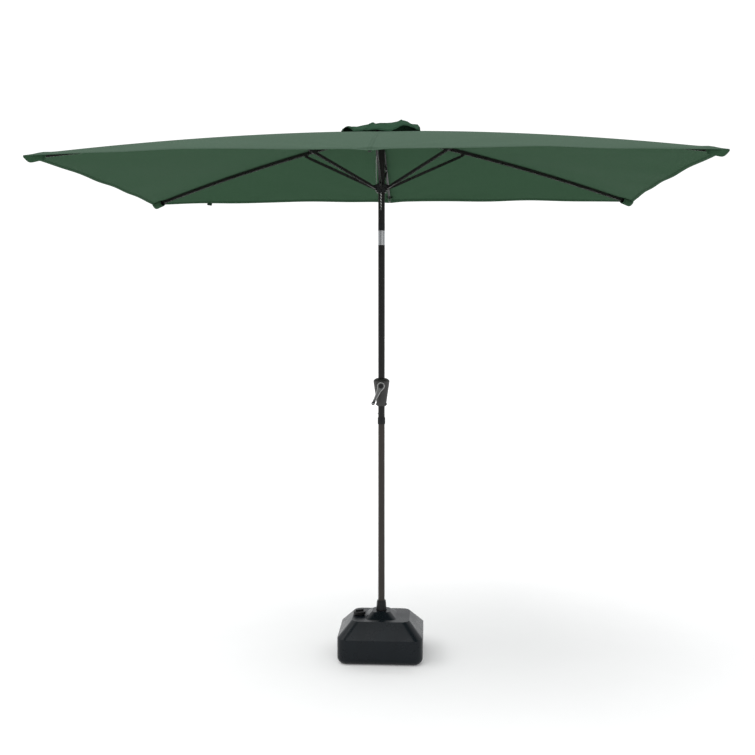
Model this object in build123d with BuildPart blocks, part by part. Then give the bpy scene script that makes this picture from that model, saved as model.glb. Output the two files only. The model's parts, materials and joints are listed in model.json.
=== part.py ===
from build123d import *
import os
from math import sin, cos, tan, acos, atan2, radians, degrees, hypot, sqrt, pi

os.makedirs("parts", exist_ok=True)

# ---------------------------------------------------------------------------
# Patio umbrella with water-fillable base. Millimetres, +Z up, the ground at
# z = 0, the pole on the Z axis, the long side of the canopy along X, the crank
# facing -Y.
# ---------------------------------------------------------------------------

# canopy
CAN_X = 1500.0            # half length of the canopy
CAN_Y = 1000.0            # half width of the canopy
CAN_T = 1.2               # thickness of the fabric solids
CAN_TOP = 2771.0          # height the fabric lines would meet at, on the axis
VENT_U = 0.10             # size of the vent hole, as a share of the canopy
VENT_X, VENT_Y = 205.0, 140.0   # half sizes of the vent cap
VENT_EDGE_Z, VENT_PEAK_Z = 2788.0, 2830.0

# crown, runner and the folding frame
PIVOT_R = 36.0            # radius of the ring of pivots, crown and runner
CROWN_Z = 2752.0          # height of the crown pivots
RUNNER_Z = 2474.7         # height of the runner pivots, canopy open
CLOSED_S = 1011.5         # crown pivot to runner pivot, canopy closed
RIB_W, RIB_H, RIB_T = 12.0, 16.0, 1.4
RIB_DROP = 4.0            # fabric surface to the top of a rib
STRUT_W, STRUT_H, STRUT_T = 10.0, 14.0, 1.2
BRACKET_DROP = 16.5       # rib centre line to the strut pivot
PIN_R = 2.0

# pole
POLE_R, POLE_IN = 17.5, 16.0
FOOT_Z = 0.0              # lower end of the pole tube
JOINT_Z = 1233.4          # where the two pole halves meet
SPIGOT_R, SPIGOT_TOP = 15.9, 1325.0
COLLAR_R, COLLAR_TOP = 20.5, 1268.7
SNAP_Z = 1288.0
SLEEVE_Z0, SLEEVE_Z1 = 2179.3, 2254.6
TILT_Z = 2240.0           # tilt axis, along X
TILT_DEG = 30.0
KNUCKLE_Z0, KNUCKLE_Z1 = 2255.1, 2295.0
BUTTON_Z = 2281.0

# crank
HOUSE_Z0, HOUSE_RIM, HOUSE_Z1 = 1330.0, 1462.5, 1479.0
HOUSE_R0, HOUSE_R1 = 24.0, 43.0
CRANK_Z = 1439.0
CRANK_L = 97.0
CRANK_ANG = degrees(atan2(-89.0, -40.0))    # arm direction in the XZ plane

# base
TANK_X, TANK_Y, TANK_R = 450.0, 400.0, 50.0
TANK_CREASE, TANK_DECK = 119.0, 197.0
GROUND = -16.0            # heights here are from a datum 16 mm above the ground;
                          # save() lifts every piece, so that the ground is at z = 0
DECK_X, DECK_Y, DECK_R = 305.0, 250.0, 42.0
WALL = 4.0
FILL_X = -118.0


def z_corner(r):
    return CAN_TOP - 0.0945 * r - 0.0000295 * r * r


def z_mid(r):
    return CAN_TOP - 0.180 * r - 0.000071 * r * r


R_CORNER = hypot(CAN_X, CAN_Y)
A_CORNER = degrees(atan2(CAN_Y, CAN_X))

# name, azimuth in degrees, surface line, radius of the strut bracket, tip radius
RIBS = [
    ("front_left", 180.0 + A_CORNER, z_corner, 519.0, R_CORNER),
    ("front_mid", 270.0, z_mid, 523.7, CAN_Y),
    ("front_right", 360.0 - A_CORNER, z_corner, 519.0, R_CORNER),
    ("back_right", A_CORNER, z_corner, 519.0, R_CORNER),
    ("back_mid", 90.0, z_mid, 523.7, CAN_Y),
    ("back_left", 180.0 - A_CORNER, z_corner, 519.0, R_CORNER),
]


def save(bp, name):
    piece = bp.part.moved(Location((0, 0, -GROUND)))
    piece.label = name
    export_step(piece, "parts/" + name + ".step")


def azimuth_plane(a):
    """Sketch plane through the axis: x is the radius, y is the height."""
    c, s = cos(radians(a)), sin(radians(a))
    return Plane(origin=(0, 0, 0), x_dir=(c, s, 0), z_dir=(s, -c, 0))


def polar(r, a, z):
    return (r * cos(radians(a)), r * sin(radians(a)), z)


# ---------------------------------------------------------------------------
# Base: blow-moulded tank, filler, neck
# ---------------------------------------------------------------------------
def tank_body(grow, z0, deck, edge):
    with BuildPart() as body:
        with BuildSketch(Plane.XY.offset(z0)):
            RectangleRounded(TANK_X - 2 * grow, TANK_Y - 2 * grow, TANK_R - grow)
        extrude(amount=TANK_CREASE - z0)
        fillet(body.faces().sort_by(Axis.Z)[0].edges(), edge)
        with BuildSketch(Plane.XY.offset(TANK_CREASE)):
            RectangleRounded(TANK_X - 2 * grow, TANK_Y - 2 * grow, TANK_R - grow)
        with BuildSketch(Plane.XY.offset(deck)):
            RectangleRounded(DECK_X - 2 * grow, DECK_Y - 2 * grow, DECK_R - grow)
        loft()
    return body


tank_outer = tank_body(0.0, GROUND, TANK_DECK, 36.0)
tank_inner = tank_body(WALL, GROUND + WALL, TANK_DECK - WALL, 32.0)

with BuildPart() as base_tank:
    add(tank_outer.part)
    # low hipped mound that the neck stands on, hollow below
    with BuildSketch(Plane.XY.offset(TANK_DECK - 1.0)):
        RectangleRounded(166, 188, 30)
    with BuildSketch(Plane.XY.offset(TANK_DECK + 29.0)):
        RectangleRounded(96, 100, 28)
    loft()
    add(tank_inner.part, mode=Mode.SUBTRACT)
    with BuildSketch(Plane.XY.offset(TANK_DECK - 5.0)):
        RectangleRounded(158, 180, 26)
    with BuildSketch(Plane.XY.offset(TANK_DECK + 11.0)):
        RectangleRounded(112, 120, 26)
    loft(mode=Mode.SUBTRACT)
    # well round the neck for the skirt of the nut
    with BuildSketch(Plane.XY.offset(TANK_DECK + 15.0)):
        Circle(29.5)
    extrude(amount=40.0, mode=Mode.SUBTRACT)
    # socket that the pole stands in, closed below, with the neck for the nut
    with BuildSketch(Plane.XY.offset(GROUND + 2.0)):
        Circle(25.0)
    extrude(amount=TANK_DECK + 13.0 - GROUND - 2.0)
    with BuildSketch(Plane.XY.offset(TANK_DECK + 5.0)):
        Circle(24.2)
    extrude(amount=48.0)
    with BuildSketch(Plane.XY.offset(GROUND + 8.0)):
        Circle(17.9)
    extrude(amount=400.0, mode=Mode.SUBTRACT)
    with BuildSketch(Plane.XY.offset(186.0)):
        Circle(21.0)
    extrude(amount=200.0, mode=Mode.SUBTRACT)
    # filler spout
    with BuildSketch(Plane.XY.offset(TANK_DECK - 6.0)):
        with Locations((FILL_X, 0)):
            Circle(25.0)
    extrude(amount=20.5)
    with BuildSketch(Plane.XY.offset(TANK_DECK - 12.0)):
        with Locations((FILL_X, 0)):
            Circle(21.0)
    extrude(amount=40.0, mode=Mode.SUBTRACT)
save(base_tank, "base_tank")

with BuildPart() as filler_gasket:
    with BuildSketch(Plane.XY.offset(TANK_DECK + 14.6)):
        with Locations((FILL_X, 0)):
            Circle(25.0)
            Circle(20.5, mode=Mode.SUBTRACT)
    extrude(amount=1.9)
save(filler_gasket, "filler_gasket")

with BuildPart() as filler_cap:
    with BuildSketch(Plane.XY.offset(TANK_DECK + 4.5)):
        with Locations((FILL_X, 0)):
            Circle(31.6)
            Circle(25.5, mode=Mode.SUBTRACT)
            with PolarLocations(31.6, 24):
                Circle(1.1)
    extrude(amount=13.0)
    with BuildSketch(Plane.XY.offset(TANK_DECK + 16.8)):
        with Locations((FILL_X, 0)):
            Circle(31.6)
    extrude(amount=3.4)
    chamfer(filler_cap.faces().sort_by(Axis.Z)[-1].edges(), 1.2)
    # thumb wing across the top
    with BuildSketch(Plane.XY.offset(TANK_DECK + 20.0)):
        with Locations((FILL_X, 0)):
            SlotOverall(46.0, 9.0, rotation=25)
    extrude(amount=9.0)
    fillet(filler_cap.faces().sort_by(Axis.Z)[-1].edges(), 2.2)
save(filler_cap, "filler_cap")

with BuildPart() as pole_collet:
    with BuildSketch(Plane.XY.offset(190.0)):
        Circle(20.7)
        Circle(17.6, mode=Mode.SUBTRACT)
    extrude(amount=73.0)
    with BuildSketch(Plane.XY.offset(252.6)):
        Circle(22.4)
        Circle(17.6, mode=Mode.SUBTRACT)
    extrude(amount=4.0)
    with BuildSketch(Plane.XY.offset(206.0)):
        with PolarLocations(19.0, 4):
            Rectangle(12.0, 2.4)
    extrude(amount=80.0, mode=Mode.SUBTRACT)
save(pole_collet, "pole_collet")

with BuildPart() as clamp_nut:
    with BuildSketch(Plane.XZ):
        with BuildLine():
            Polyline([(24.7, 213.2), (27.0, 213.2), (26.6, 228.0), (24.9, 268.0),
                      (23.0, 278.0), (18.3, 278.0), (18.3, 269.0), (22.9, 262.5), (22.9, 251.6),
                      (24.7, 251.6), (24.7, 213.2)])
        make_face()
    revolve(axis=Axis.Z)
    with BuildSketch(Plane.XY.offset(216.0)):
        with PolarLocations(26.0, 12):
            Rectangle(3.2, 2.4)
    extrude(amount=46.0, taper=2.0)
save(clamp_nut, "clamp_nut")

# ---------------------------------------------------------------------------
# Pole
# ---------------------------------------------------------------------------
with BuildPart() as pole_foot_plug:
    with BuildSketch(Plane.XY.offset(FOOT_Z - 7.0)):
        Circle(POLE_R)
    extrude(amount=7.0 - 0.05)
    with BuildSketch(Plane.XY.offset(FOOT_Z - 0.2)):
        Circle(POLE_IN - 0.1)
    extrude(amount=26.0)
    with BuildSketch(Plane.XY.offset(FOOT_Z)):
        Circle(POLE_IN - 3.0)
    extrude(amount=60.0, mode=Mode.SUBTRACT)
save(pole_foot_plug, "pole_foot_plug")

with BuildPart() as lower_pole:
    with BuildSketch(Plane.XZ):
        with BuildLine():
            Polyline([(POLE_IN, FOOT_Z), (POLE_R, FOOT_Z), (POLE_R, JOINT_Z),
                      (SPIGOT_R, JOINT_Z + 1.5), (SPIGOT_R, SPIGOT_TOP),
                      (SPIGOT_R - 1.5, SPIGOT_TOP), (SPIGOT_R - 1.5, JOINT_Z - 1.0),
                      (POLE_IN, JOINT_Z - 3.0), (POLE_IN, FOOT_Z)])
        make_face()
    revolve(axis=Axis.Z)
    with BuildSketch(Plane.YZ):
        with Locations((0, SNAP_Z)):
            Circle(4.3)
    extrude(amount=-40.0, mode=Mode.SUBTRACT)
save(lower_pole, "lower_pole")

with BuildPart() as main_pole:
    with BuildSketch(Plane.XY.offset(JOINT_Z + 2.0)):
        Circle(POLE_R)
        Circle(POLE_IN, mode=Mode.SUBTRACT)
    extrude(amount=SLEEVE_Z0 - JOINT_Z - 2.0)
    with BuildSketch(Plane.YZ):
        with Locations((0, SNAP_Z)):
            Circle(4.3)
    extrude(amount=-40.0, mode=Mode.SUBTRACT)
    with BuildSketch(Plane.XZ):
        with Locations((0, CRANK_Z)):
            Circle(5.6)
    extrude(amount=40.0, both=True, mode=Mode.SUBTRACT)
save(main_pole, "main_pole")

with BuildPart() as joint_collar:
    with BuildSketch(Plane.XY.offset(JOINT_Z)):
        Circle(COLLAR_R)
        Circle(POLE_R, mode=Mode.SUBTRACT)
    extrude(amount=COLLAR_TOP - JOINT_Z)
    chamfer(joint_collar.faces().sort_by(Axis.Z)[-1].edges().sort_by(SortBy.LENGTH)[-1], 1.2)
    chamfer(joint_collar.faces().sort_by(Axis.Z)[0].edges().sort_by(SortBy.LENGTH)[-1], 1.2)
save(joint_collar, "joint_collar")

# snap button that locks the two halves: a domed pin through both walls, on -X
with BuildPart() as snap_button:
    with BuildSketch(Plane.YZ.offset(-11.0)):
        with Locations((0, SNAP_Z)):
            Circle(4.1)
    extrude(amount=-10.6)
    fillet(snap_button.faces().sort_by(Axis.X)[0].edges(), 2.4)
    with BuildSketch(Plane.YZ.offset(-11.0)):
        with Locations((0, SNAP_Z)):
            Circle(6.0)
    extrude(amount=-2.0)
save(snap_button, "snap_button")

# leaf spring of the snap button: a bent strip across the inside of the spigot
with BuildPart() as snap_spring:
    with BuildSketch(Plane.XZ):
        with BuildLine():
            Polyline([(-10.9, SNAP_Z + 6.0), (-10.9, SNAP_Z - 6.0), (-0.2, SNAP_Z - 32.0),
                      (0.6, SNAP_Z - 32.0), (13.2, SNAP_Z + 9.7), (12.4, SNAP_Z + 10.0),
                      (0.2, SNAP_Z - 29.0), (-10.1, SNAP_Z - 5.7), (-10.1, SNAP_Z + 6.0),
                      (-10.9, SNAP_Z + 6.0)])
        make_face()
    extrude(amount=3.5, both=True)
save(snap_spring, "snap_spring")

# ---------------------------------------------------------------------------
# Crank housing: two shells split at y = 0, four screws
# ---------------------------------------------------------------------------
SCREWS = [(-34.8, 1449.0), (34.8, 1449.0), (-24.6, 1339.5), (24.6, 1339.5)]


def housing_half(side):
    """side is -1 for the front shell (-Y) and +1 for the rear shell (+Y)."""
    with BuildPart() as half:
        with BuildSketch(Plane.XZ):
            with BuildLine():
                Polyline([(17.6, HOUSE_Z0), (HOUSE_R0, HOUSE_Z0), (HOUSE_R1, HOUSE_RIM)])
                ThreePointArc((HOUSE_R1, HOUSE_RIM), (34.0, 1473.5), (17.6, HOUSE_Z1))
                Polyline([(17.6, HOUSE_Z1), (17.6, 1475.6), (33.0, 1470.2), (40.2, 1461.0),
                          (21.8, 1333.2), (17.6, 1333.2), (17.6, HOUSE_Z0)])
            make_face()
        revolve(axis=Axis.Z)
        for (sx, sz) in SCREWS:
            with BuildSketch(Plane.XZ.offset(0)):
                with Locations((sx, sz)):
                    Circle(5.2)
            extrude(amount=9.0, both=True)
        # bearing boss for the crank shaft, through the front and the rear wall
        with BuildSketch(Plane.XZ.offset(19.5)):
            with Locations((0, CRANK_Z)):
                Circle(19.0 if side < 0 else 11.0)
        extrude(amount=24.6 if side < 0 else 3.0)
        with BuildSketch(Plane.XZ.offset(-19.5)):
            with Locations((0, CRANK_Z)):
                Circle(11.0)
        extrude(amount=-20.0)
        # the pole and the bearing bores
        with BuildSketch(Plane.XY.offset(1300)):
            Circle(17.6)
        extrude(amount=220.0, mode=Mode.SUBTRACT)
        with BuildSketch(Plane.XZ):
            with Locations((0, CRANK_Z)):
                Circle(8.0)
        extrude(amount=60.0, mode=Mode.SUBTRACT)
        with BuildSketch(Plane.XZ):
            with Locations((0, CRANK_Z)):
                Circle(5.1)
        extrude(amount=-30.0, mode=Mode.SUBTRACT)
        for (sx, sz) in SCREWS:
            with BuildSketch(Plane.XZ):
                with Locations((sx, sz)):
                    Circle(1.6)
            extrude(amount=6.0, mode=Mode.SUBTRACT)
            with BuildSketch(Plane.XZ):
                with Locations((sx, sz)):
                    Circle(1.6)
            extrude(amount=-60.0, mode=Mode.SUBTRACT)
            with BuildSketch(Plane.XZ.offset(-5.5)):
                with Locations((sx, sz)):
                    Circle(3.2)
            extrude(amount=-60.0, mode=Mode.SUBTRACT)
        split(bisect_by=Plane.XZ, keep=Keep.TOP if side < 0 else Keep.BOTTOM)
    return half


crank_housing_front = housing_half(-1)
save(crank_housing_front, "crank_housing_front")
crank_housing_rear = housing_half(+1)
save(crank_housing_rear, "crank_housing_rear")

with BuildPart() as housing_screws:
    for (sx, sz) in SCREWS:
        with BuildSketch(Plane.XZ.offset(5.8)):
            with Locations((sx, sz)):
                Circle(1.6)
        extrude(amount=-11.3)
        with BuildSketch(Plane.XZ.offset(-5.5)):
            with Locations((sx, sz)):
                Circle(3.1)
        extrude(amount=-2.2)
save(housing_screws, "housing_screws")

with BuildPart() as shaft_bush:
    with BuildSketch(Plane.XZ.offset(30.0)):
        with Locations((0, CRANK_Z)):
            Circle(8.0)
            Circle(5.05, mode=Mode.SUBTRACT)
    extrude(amount=14.0)
save(shaft_bush, "shaft_bush")

with BuildPart() as crank_shaft:
    with BuildSketch(Plane.XZ.offset(-30.0)):
        with Locations((0, CRANK_Z)):
            Circle(5.0)
    extrude(amount=30.0 + 52.0)
save(crank_shaft, "crank_shaft")

with BuildPart() as cord_drum:
    with BuildSketch(Plane.XZ.offset(-6.0)):
        with Locations((0, CRANK_Z)):
            Circle(11.5)
            Circle(5.0, mode=Mode.SUBTRACT)
    extrude(amount=12.0)
    for y0 in (-6.0, 4.8):
        with BuildSketch(Plane.XZ.offset(y0)):
            with Locations((0, CRANK_Z)):
                Circle(14.4)
                Circle(5.0, mode=Mode.SUBTRACT)
        extrude(amount=1.2)
save(cord_drum, "cord_drum")

arm_c, arm_s = cos(radians(CRANK_ANG)), sin(radians(CRANK_ANG))
KNOB_X, KNOB_Z = CRANK_L * arm_c, CRANK_Z + CRANK_L * arm_s

with BuildPart() as crank_arm:
    # hub disc with a raised rim
    with BuildSketch(Plane.XZ.offset(44.8)):
        with Locations((0, CRANK_Z)):
            Circle(20.0)
    extrude(amount=8.2)
    # tapered arm
    with BuildSketch(Plane.XZ.offset(45.4)) as arm_plan:
        with BuildLine():
            nx, nz = -arm_s, arm_c
            Polyline([(17.0 * nx, CRANK_Z + 17.0 * nz),
                      (30.0 * arm_c + 10.5 * nx, CRANK_Z + 30.0 * arm_s + 10.5 * nz),
                      (KNOB_X + 6.8 * nx, KNOB_Z + 6.8 * nz),
                      (KNOB_X - 6.8 * nx, KNOB_Z - 6.8 * nz),
                      (30.0 * arm_c - 10.5 * nx, CRANK_Z + 30.0 * arm_s - 10.5 * nz),
                      (-17.0 * nx, CRANK_Z - 17.0 * nz),
                      (17.0 * nx, CRANK_Z + 17.0 * nz)])
        make_face()
        with Locations((KNOB_X, KNOB_Z)):
            Circle(8.2)
    extrude(amount=6.8)
    with BuildSketch(Plane.XZ.offset(50.6)):
        with Locations((0, CRANK_Z)):
            Circle(17.4)
            Circle(12.2, mode=Mode.SUBTRACT)
    extrude(amount=4.0, mode=Mode.SUBTRACT)
    with BuildSketch(Plane.XZ.offset(40.0)):
        with Locations((0, CRANK_Z)):
            Circle(5.0)
    extrude(amount=20.0, mode=Mode.SUBTRACT)
    with BuildSketch(Plane.XZ.offset(40.0)):
        with Locations((KNOB_X, KNOB_Z)):
            Circle(3.0)
    extrude(amount=20.0, mode=Mode.SUBTRACT)
save(crank_arm, "crank_arm")

with BuildPart() as crank_hub_cap:
    with BuildSketch(Plane.XZ.offset(53.0)):
        with Locations((0, CRANK_Z)):
            Circle(12.0)
    extrude(amount=3.0)
    fillet(crank_hub_cap.faces().sort_by(Axis.Y)[0].edges(), 1.6)
save(crank_hub_cap, "crank_hub_cap")

with BuildPart() as knob_pin:
    with BuildSketch(Plane.XZ.offset(44.4)):
        with Locations((KNOB_X, KNOB_Z)):
            Circle(3.0)
    extrude(amount=42.0)
    with BuildSketch(Plane.XZ.offset(43.6)):
        with Locations((KNOB_X, KNOB_Z)):
            Circle(5.0)
    extrude(amount=1.7)
save(knob_pin, "knob_pin")

with BuildPart() as crank_knob:
    with BuildSketch(Plane(origin=(KNOB_X, 0, KNOB_Z), x_dir=(1, 0, 0), z_dir=(0, 0, 1))):
        with BuildLine():
            Polyline([(3.06, -52.6), (7.6, -52.6), (8.9, -56.0)])
            ThreePointArc((8.9, -56.0), (8.2, -70.0), (9.1, -82.0))
            ThreePointArc((9.1, -82.0), (7.6, -87.4), (3.06, -89.0))
            Line((3.06, -89.0), (3.06, -52.6))
        make_face()
    revolve(axis=Axis((KNOB_X, 0, KNOB_Z), (0, 1, 0)))
save(crank_knob, "crank_knob")

# ---------------------------------------------------------------------------
# Tilt joint: polished sleeve, inner fork, pin, knuckle with tongue, button
# ---------------------------------------------------------------------------
with BuildPart() as tilt_sleeve:
    with BuildSketch(Plane.XY.offset(SLEEVE_Z0)):
        Circle(POLE_R + 0.2)
        Circle(POLE_IN, mode=Mode.SUBTRACT)
    extrude(amount=SLEEVE_Z1 - SLEEVE_Z0)
    # relief at the back, for the knuckle as it tips
    with BuildSketch(Plane.YZ):
        with BuildLine():
            Polyline([(0.0, SLEEVE_Z1 + 5.0), (0.0, SLEEVE_Z1 - 0.3), (30.0, SLEEVE_Z1 - 0.3 - 30.0 * tan(radians(33.0))),
                      (30.0, SLEEVE_Z1 + 5.0), (0.0, SLEEVE_Z1 + 5.0)])
        make_face()
    extrude(amount=40.0, both=True, mode=Mode.SUBTRACT)
    with BuildSketch(Plane.YZ):
        with Locations((0, TILT_Z)):
            Circle(4.0)
    extrude(amount=40.0, both=True, mode=Mode.SUBTRACT)
save(tilt_sleeve, "tilt_sleeve")

with BuildPart() as tilt_fork:
    with BuildSketch(Plane.XY.offset(2120.0)):
        Circle(POLE_IN)
        Circle(POLE_IN - 1.8, mode=Mode.SUBTRACT)
    extrude(amount=90.0)
    with BuildSketch(Plane.XY.offset(2208.0)):
        Circle(POLE_IN)
    extrude(amount=TILT_Z + 6.0 - 2208.0)
    with BuildSketch(Plane.XY.offset(2216.0)):
        Rectangle(12.6, 40.0)
    extrude(amount=60.0, mode=Mode.SUBTRACT)
    with BuildSketch(Plane.YZ):
        with Locations((0, TILT_Z)):
            Circle(4.0)
    extrude(amount=40.0, both=True, mode=Mode.SUBTRACT)
    # way through for the lifting cord
    with BuildSketch(Plane.XY.offset(2200.0)):
        with Locations((0, 12.0)):
            Circle(2.6)
    extrude(amount=60.0, mode=Mode.SUBTRACT)
save(tilt_fork, "tilt_fork")

with BuildPart() as tilt_pin:
    with BuildSketch(Plane.YZ.offset(-POLE_R - 0.2)):
        with Locations((0, TILT_Z)):
            Circle(4.0)
    extrude(amount=2 * POLE_R + 0.4)
save(tilt_pin, "tilt_pin")

with BuildPart() as tilt_knuckle:
    with BuildSketch(Plane.XY.offset(KNUCKLE_Z0)):
        Circle(POLE_R + 0.2)
    extrude(amount=KNUCKLE_Z1 - KNUCKLE_Z0)
    with BuildSketch(Plane.XY.offset(KNUCKLE_Z1 - 1.0)):
        Circle(POLE_IN)
    extrude(amount=36.0)
    with BuildSketch(Plane.YZ):
        with BuildLine():
            Polyline([(-9.0, KNUCKLE_Z0 + 1.0), (-9.0, TILT_Z)])
            ThreePointArc((-9.0, TILT_Z), (0.0, TILT_Z - 9.0), (9.0, TILT_Z))
            Polyline([(9.0, TILT_Z), (9.0, KNUCKLE_Z0 + 1.0), (-9.0, KNUCKLE_Z0 + 1.0)])
        make_face()
    extrude(amount=6.0, both=True)
    with BuildSketch(Plane.YZ):
        with Locations((0, TILT_Z)):
            Circle(4.06)
    extrude(amount=20.0, both=True, mode=Mode.SUBTRACT)
    # bore for the release button, from the front
    with BuildSketch(Plane.XZ.offset(2.0)):
        with Locations((0, BUTTON_Z)):
            Circle(5.4)
    extrude(amount=12.0, mode=Mode.SUBTRACT)
    with BuildSketch(Plane.XZ.offset(10.0)):
        with Locations((0, BUTTON_Z)):
            Circle(4.3)
    extrude(amount=20.0, mode=Mode.SUBTRACT)
    # way through for the lifting cord
    with BuildSketch(Plane.XY.offset(KNUCKLE_Z0 - 3.0)):
        with Locations((0, 12.0)):
            Circle(2.6)
    extrude(amount=90.0, mode=Mode.SUBTRACT)
save(tilt_knuckle, "tilt_knuckle")

with BuildPart() as tilt_button:
    with BuildSketch(Plane.XZ.offset(11.4)):
        with Locations((0, BUTTON_Z)):
            Circle(5.1)
    extrude(amount=2.2)
    with BuildSketch(Plane.XZ.offset(13.0)):
        with Locations((0, BUTTON_Z)):
            Circle(4.1)
    extrude(amount=7.2)
    fillet(tilt_button.faces().sort_by(Axis.Y)[0].edges(), 1.4)
save(tilt_button, "tilt_button")

with BuildPart() as tilt_spring:
    with BuildLine():
        coil = Helix(pitch=2.3, height=8.2, radius=3.4, center=(0, -2.7, BUTTON_Z), direction=(0, -1, 0))
    with BuildSketch(Plane(origin=coil @ 0, z_dir=coil % 0)):
        Circle(0.45)
    sweep(path=coil, is_frenet=True)
save(tilt_spring, "tilt_spring")

# ---------------------------------------------------------------------------
# Upper mast, crown and pulley
# ---------------------------------------------------------------------------
with BuildPart() as upper_pole:
    with BuildSketch(Plane.XY.offset(KNUCKLE_Z1)):
        Circle(POLE_R)
        Circle(POLE_IN, mode=Mode.SUBTRACT)
    extrude(amount=2737.0 - KNUCKLE_Z1)
save(upper_pole, "upper_pole")

PULLEY_X, PULLEY_Y, PULLEY_Z, PULLEY_R = -17.0, -4.0, 2774.0, 10.0

with BuildPart() as crown:
    with BuildSketch(Plane.XY.offset(2712.0)):
        Circle(25.0)
    extrude(amount=30.0)
    with BuildSketch(Plane.XY.offset(CROWN_Z - 14.0)):
        Circle(46.0)
    extrude(amount=28.0)
    with BuildSketch(Plane.XY.offset(CROWN_Z + 13.0)):
        Circle(31.0)
    extrude(amount=31.0)
    with BuildSketch(Plane.XY.offset(2700.0)):
        Circle(POLE_R)
    extrude(amount=37.0, mode=Mode.SUBTRACT)
    # radial slots for the ribs and bores for their pins
    for (name, a, zf, rb, rt) in RIBS:
        with BuildSketch(azimuth_plane(a)):
            with Locations((58.0, CROWN_Z)):
                Rectangle(60.0, 60.0)
        extrude(amount=3.5, both=True, mode=Mode.SUBTRACT)
        with BuildSketch(azimuth_plane(a)):
            with Locations((PIVOT_R, CROWN_Z)):
                Circle(1.75)
        extrude(amount=8.0, both=True, mode=Mode.SUBTRACT)
    # pocket for the pulley, its pin bore and the ways of the cord
    with BuildSketch(Plane.XZ.offset(-PULLEY_Y - 3.0)):
        with Locations((PULLEY_X, PULLEY_Z - 12.0)):
            Rectangle(30.0, 52.0)
    extrude(amount=6.0, mode=Mode.SUBTRACT)
    with BuildSketch(Plane.XZ.offset(-6.0)):
        with Locations((PULLEY_X, PULLEY_Z)):
            Circle(2.0)
    extrude(amount=20.0, mode=Mode.SUBTRACT)
    with BuildSketch(Plane.XY.offset(2700.0)):
        with Locations((PULLEY_X - PULLEY_R, PULLEY_Y)):
            Circle(3.0)
    extrude(amount=70.0, mode=Mode.SUBTRACT)
save(crown, "crown")

with BuildPart() as crown_pins:
    for (name, a, zf, rb, rt) in RIBS:
        with BuildSketch(azimuth_plane(a)):
            with Locations((PIVOT_R, CROWN_Z)):
                Circle(1.75)
        extrude(amount=8.0, both=True)
save(crown_pins, "crown_pins")

with BuildPart() as pulley:
    with BuildSketch(Plane(origin=(PULLEY_X, PULLEY_Y, PULLEY_Z), x_dir=(1, 0, 0), z_dir=(0, 0, 1))):
        with BuildLine():
            Polyline([(2.06, -2.7), (12.0, -2.7), (12.0, -2.2), (8.6, -1.2), (8.6, 1.2),
                      (12.0, 2.2), (12.0, 2.7), (2.06, 2.7), (2.06, -2.7)])
        make_face()
    revolve(axis=Axis((PULLEY_X, PULLEY_Y, PULLEY_Z), (0, 1, 0)))
save(pulley, "pulley")

with BuildPart() as pulley_pin:
    with BuildSketch(Plane.XZ.offset(-6.0)):
        with Locations((PULLEY_X, PULLEY_Z)):
            Circle(2.0)
    extrude(amount=20.0)
save(pulley_pin, "pulley_pin")

with BuildPart() as crown_cap:
    with BuildSketch(Plane.XY.offset(2796.0)):
        Circle(31.0)
    extrude(amount=13.0)
    fillet(crown_cap.faces().sort_by(Axis.Z)[-1].edges(), 11.0)
save(crown_cap, "crown_cap")

# ---------------------------------------------------------------------------
# Runner
# ---------------------------------------------------------------------------
with BuildPart() as runner:
    with BuildSketch(Plane.XY.offset(RUNNER_Z - 22.5)):
        Circle(26.0)
    extrude(amount=46.0)
    with BuildSketch(Plane.XY.offset(RUNNER_Z - 12.0)):
        Circle(33.0)
    extrude(amount=16.0)
    with BuildSketch(Plane.XY.offset(RUNNER_Z + 2.8)):
        Circle(45.0)
    extrude(amount=13.0)
    with BuildSketch(Plane.XY.offset(RUNNER_Z + 15.0)):
        Circle(31.0)
    extrude(amount=6.0)
    with BuildSketch(Plane.XY.offset(RUNNER_Z - 40.0)):
        Circle(19.7)
        # keyway that lets the tilt button pass
        with Locations((0, -19.0)):
            Rectangle(11.6, 5.6)
    extrude(amount=80.0, mode=Mode.SUBTRACT)
    for (name, a, zf, rb, rt) in RIBS:
        with BuildSketch(azimuth_plane(a)):
            with Locations((57.5, RUNNER_Z)):
                Rectangle(60.0, 60.0)
        extrude(amount=5.7, both=True, mode=Mode.SUBTRACT)
    # eyelet bore for the lifting cord, and the bore of the hanging end
    with BuildSketch(Plane.XY.offset(RUNNER_Z - 5.0)):
        with Locations((PULLEY_X - PULLEY_R, PULLEY_Y)):
            Circle(2.0)
    extrude(amount=40.0, mode=Mode.SUBTRACT)
save(runner, "runner")

# ---------------------------------------------------------------------------
# Ribs: steel channel, open below, with a pivot tongue, a strut bracket and a tip
# ---------------------------------------------------------------------------
PIV = {}


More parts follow.
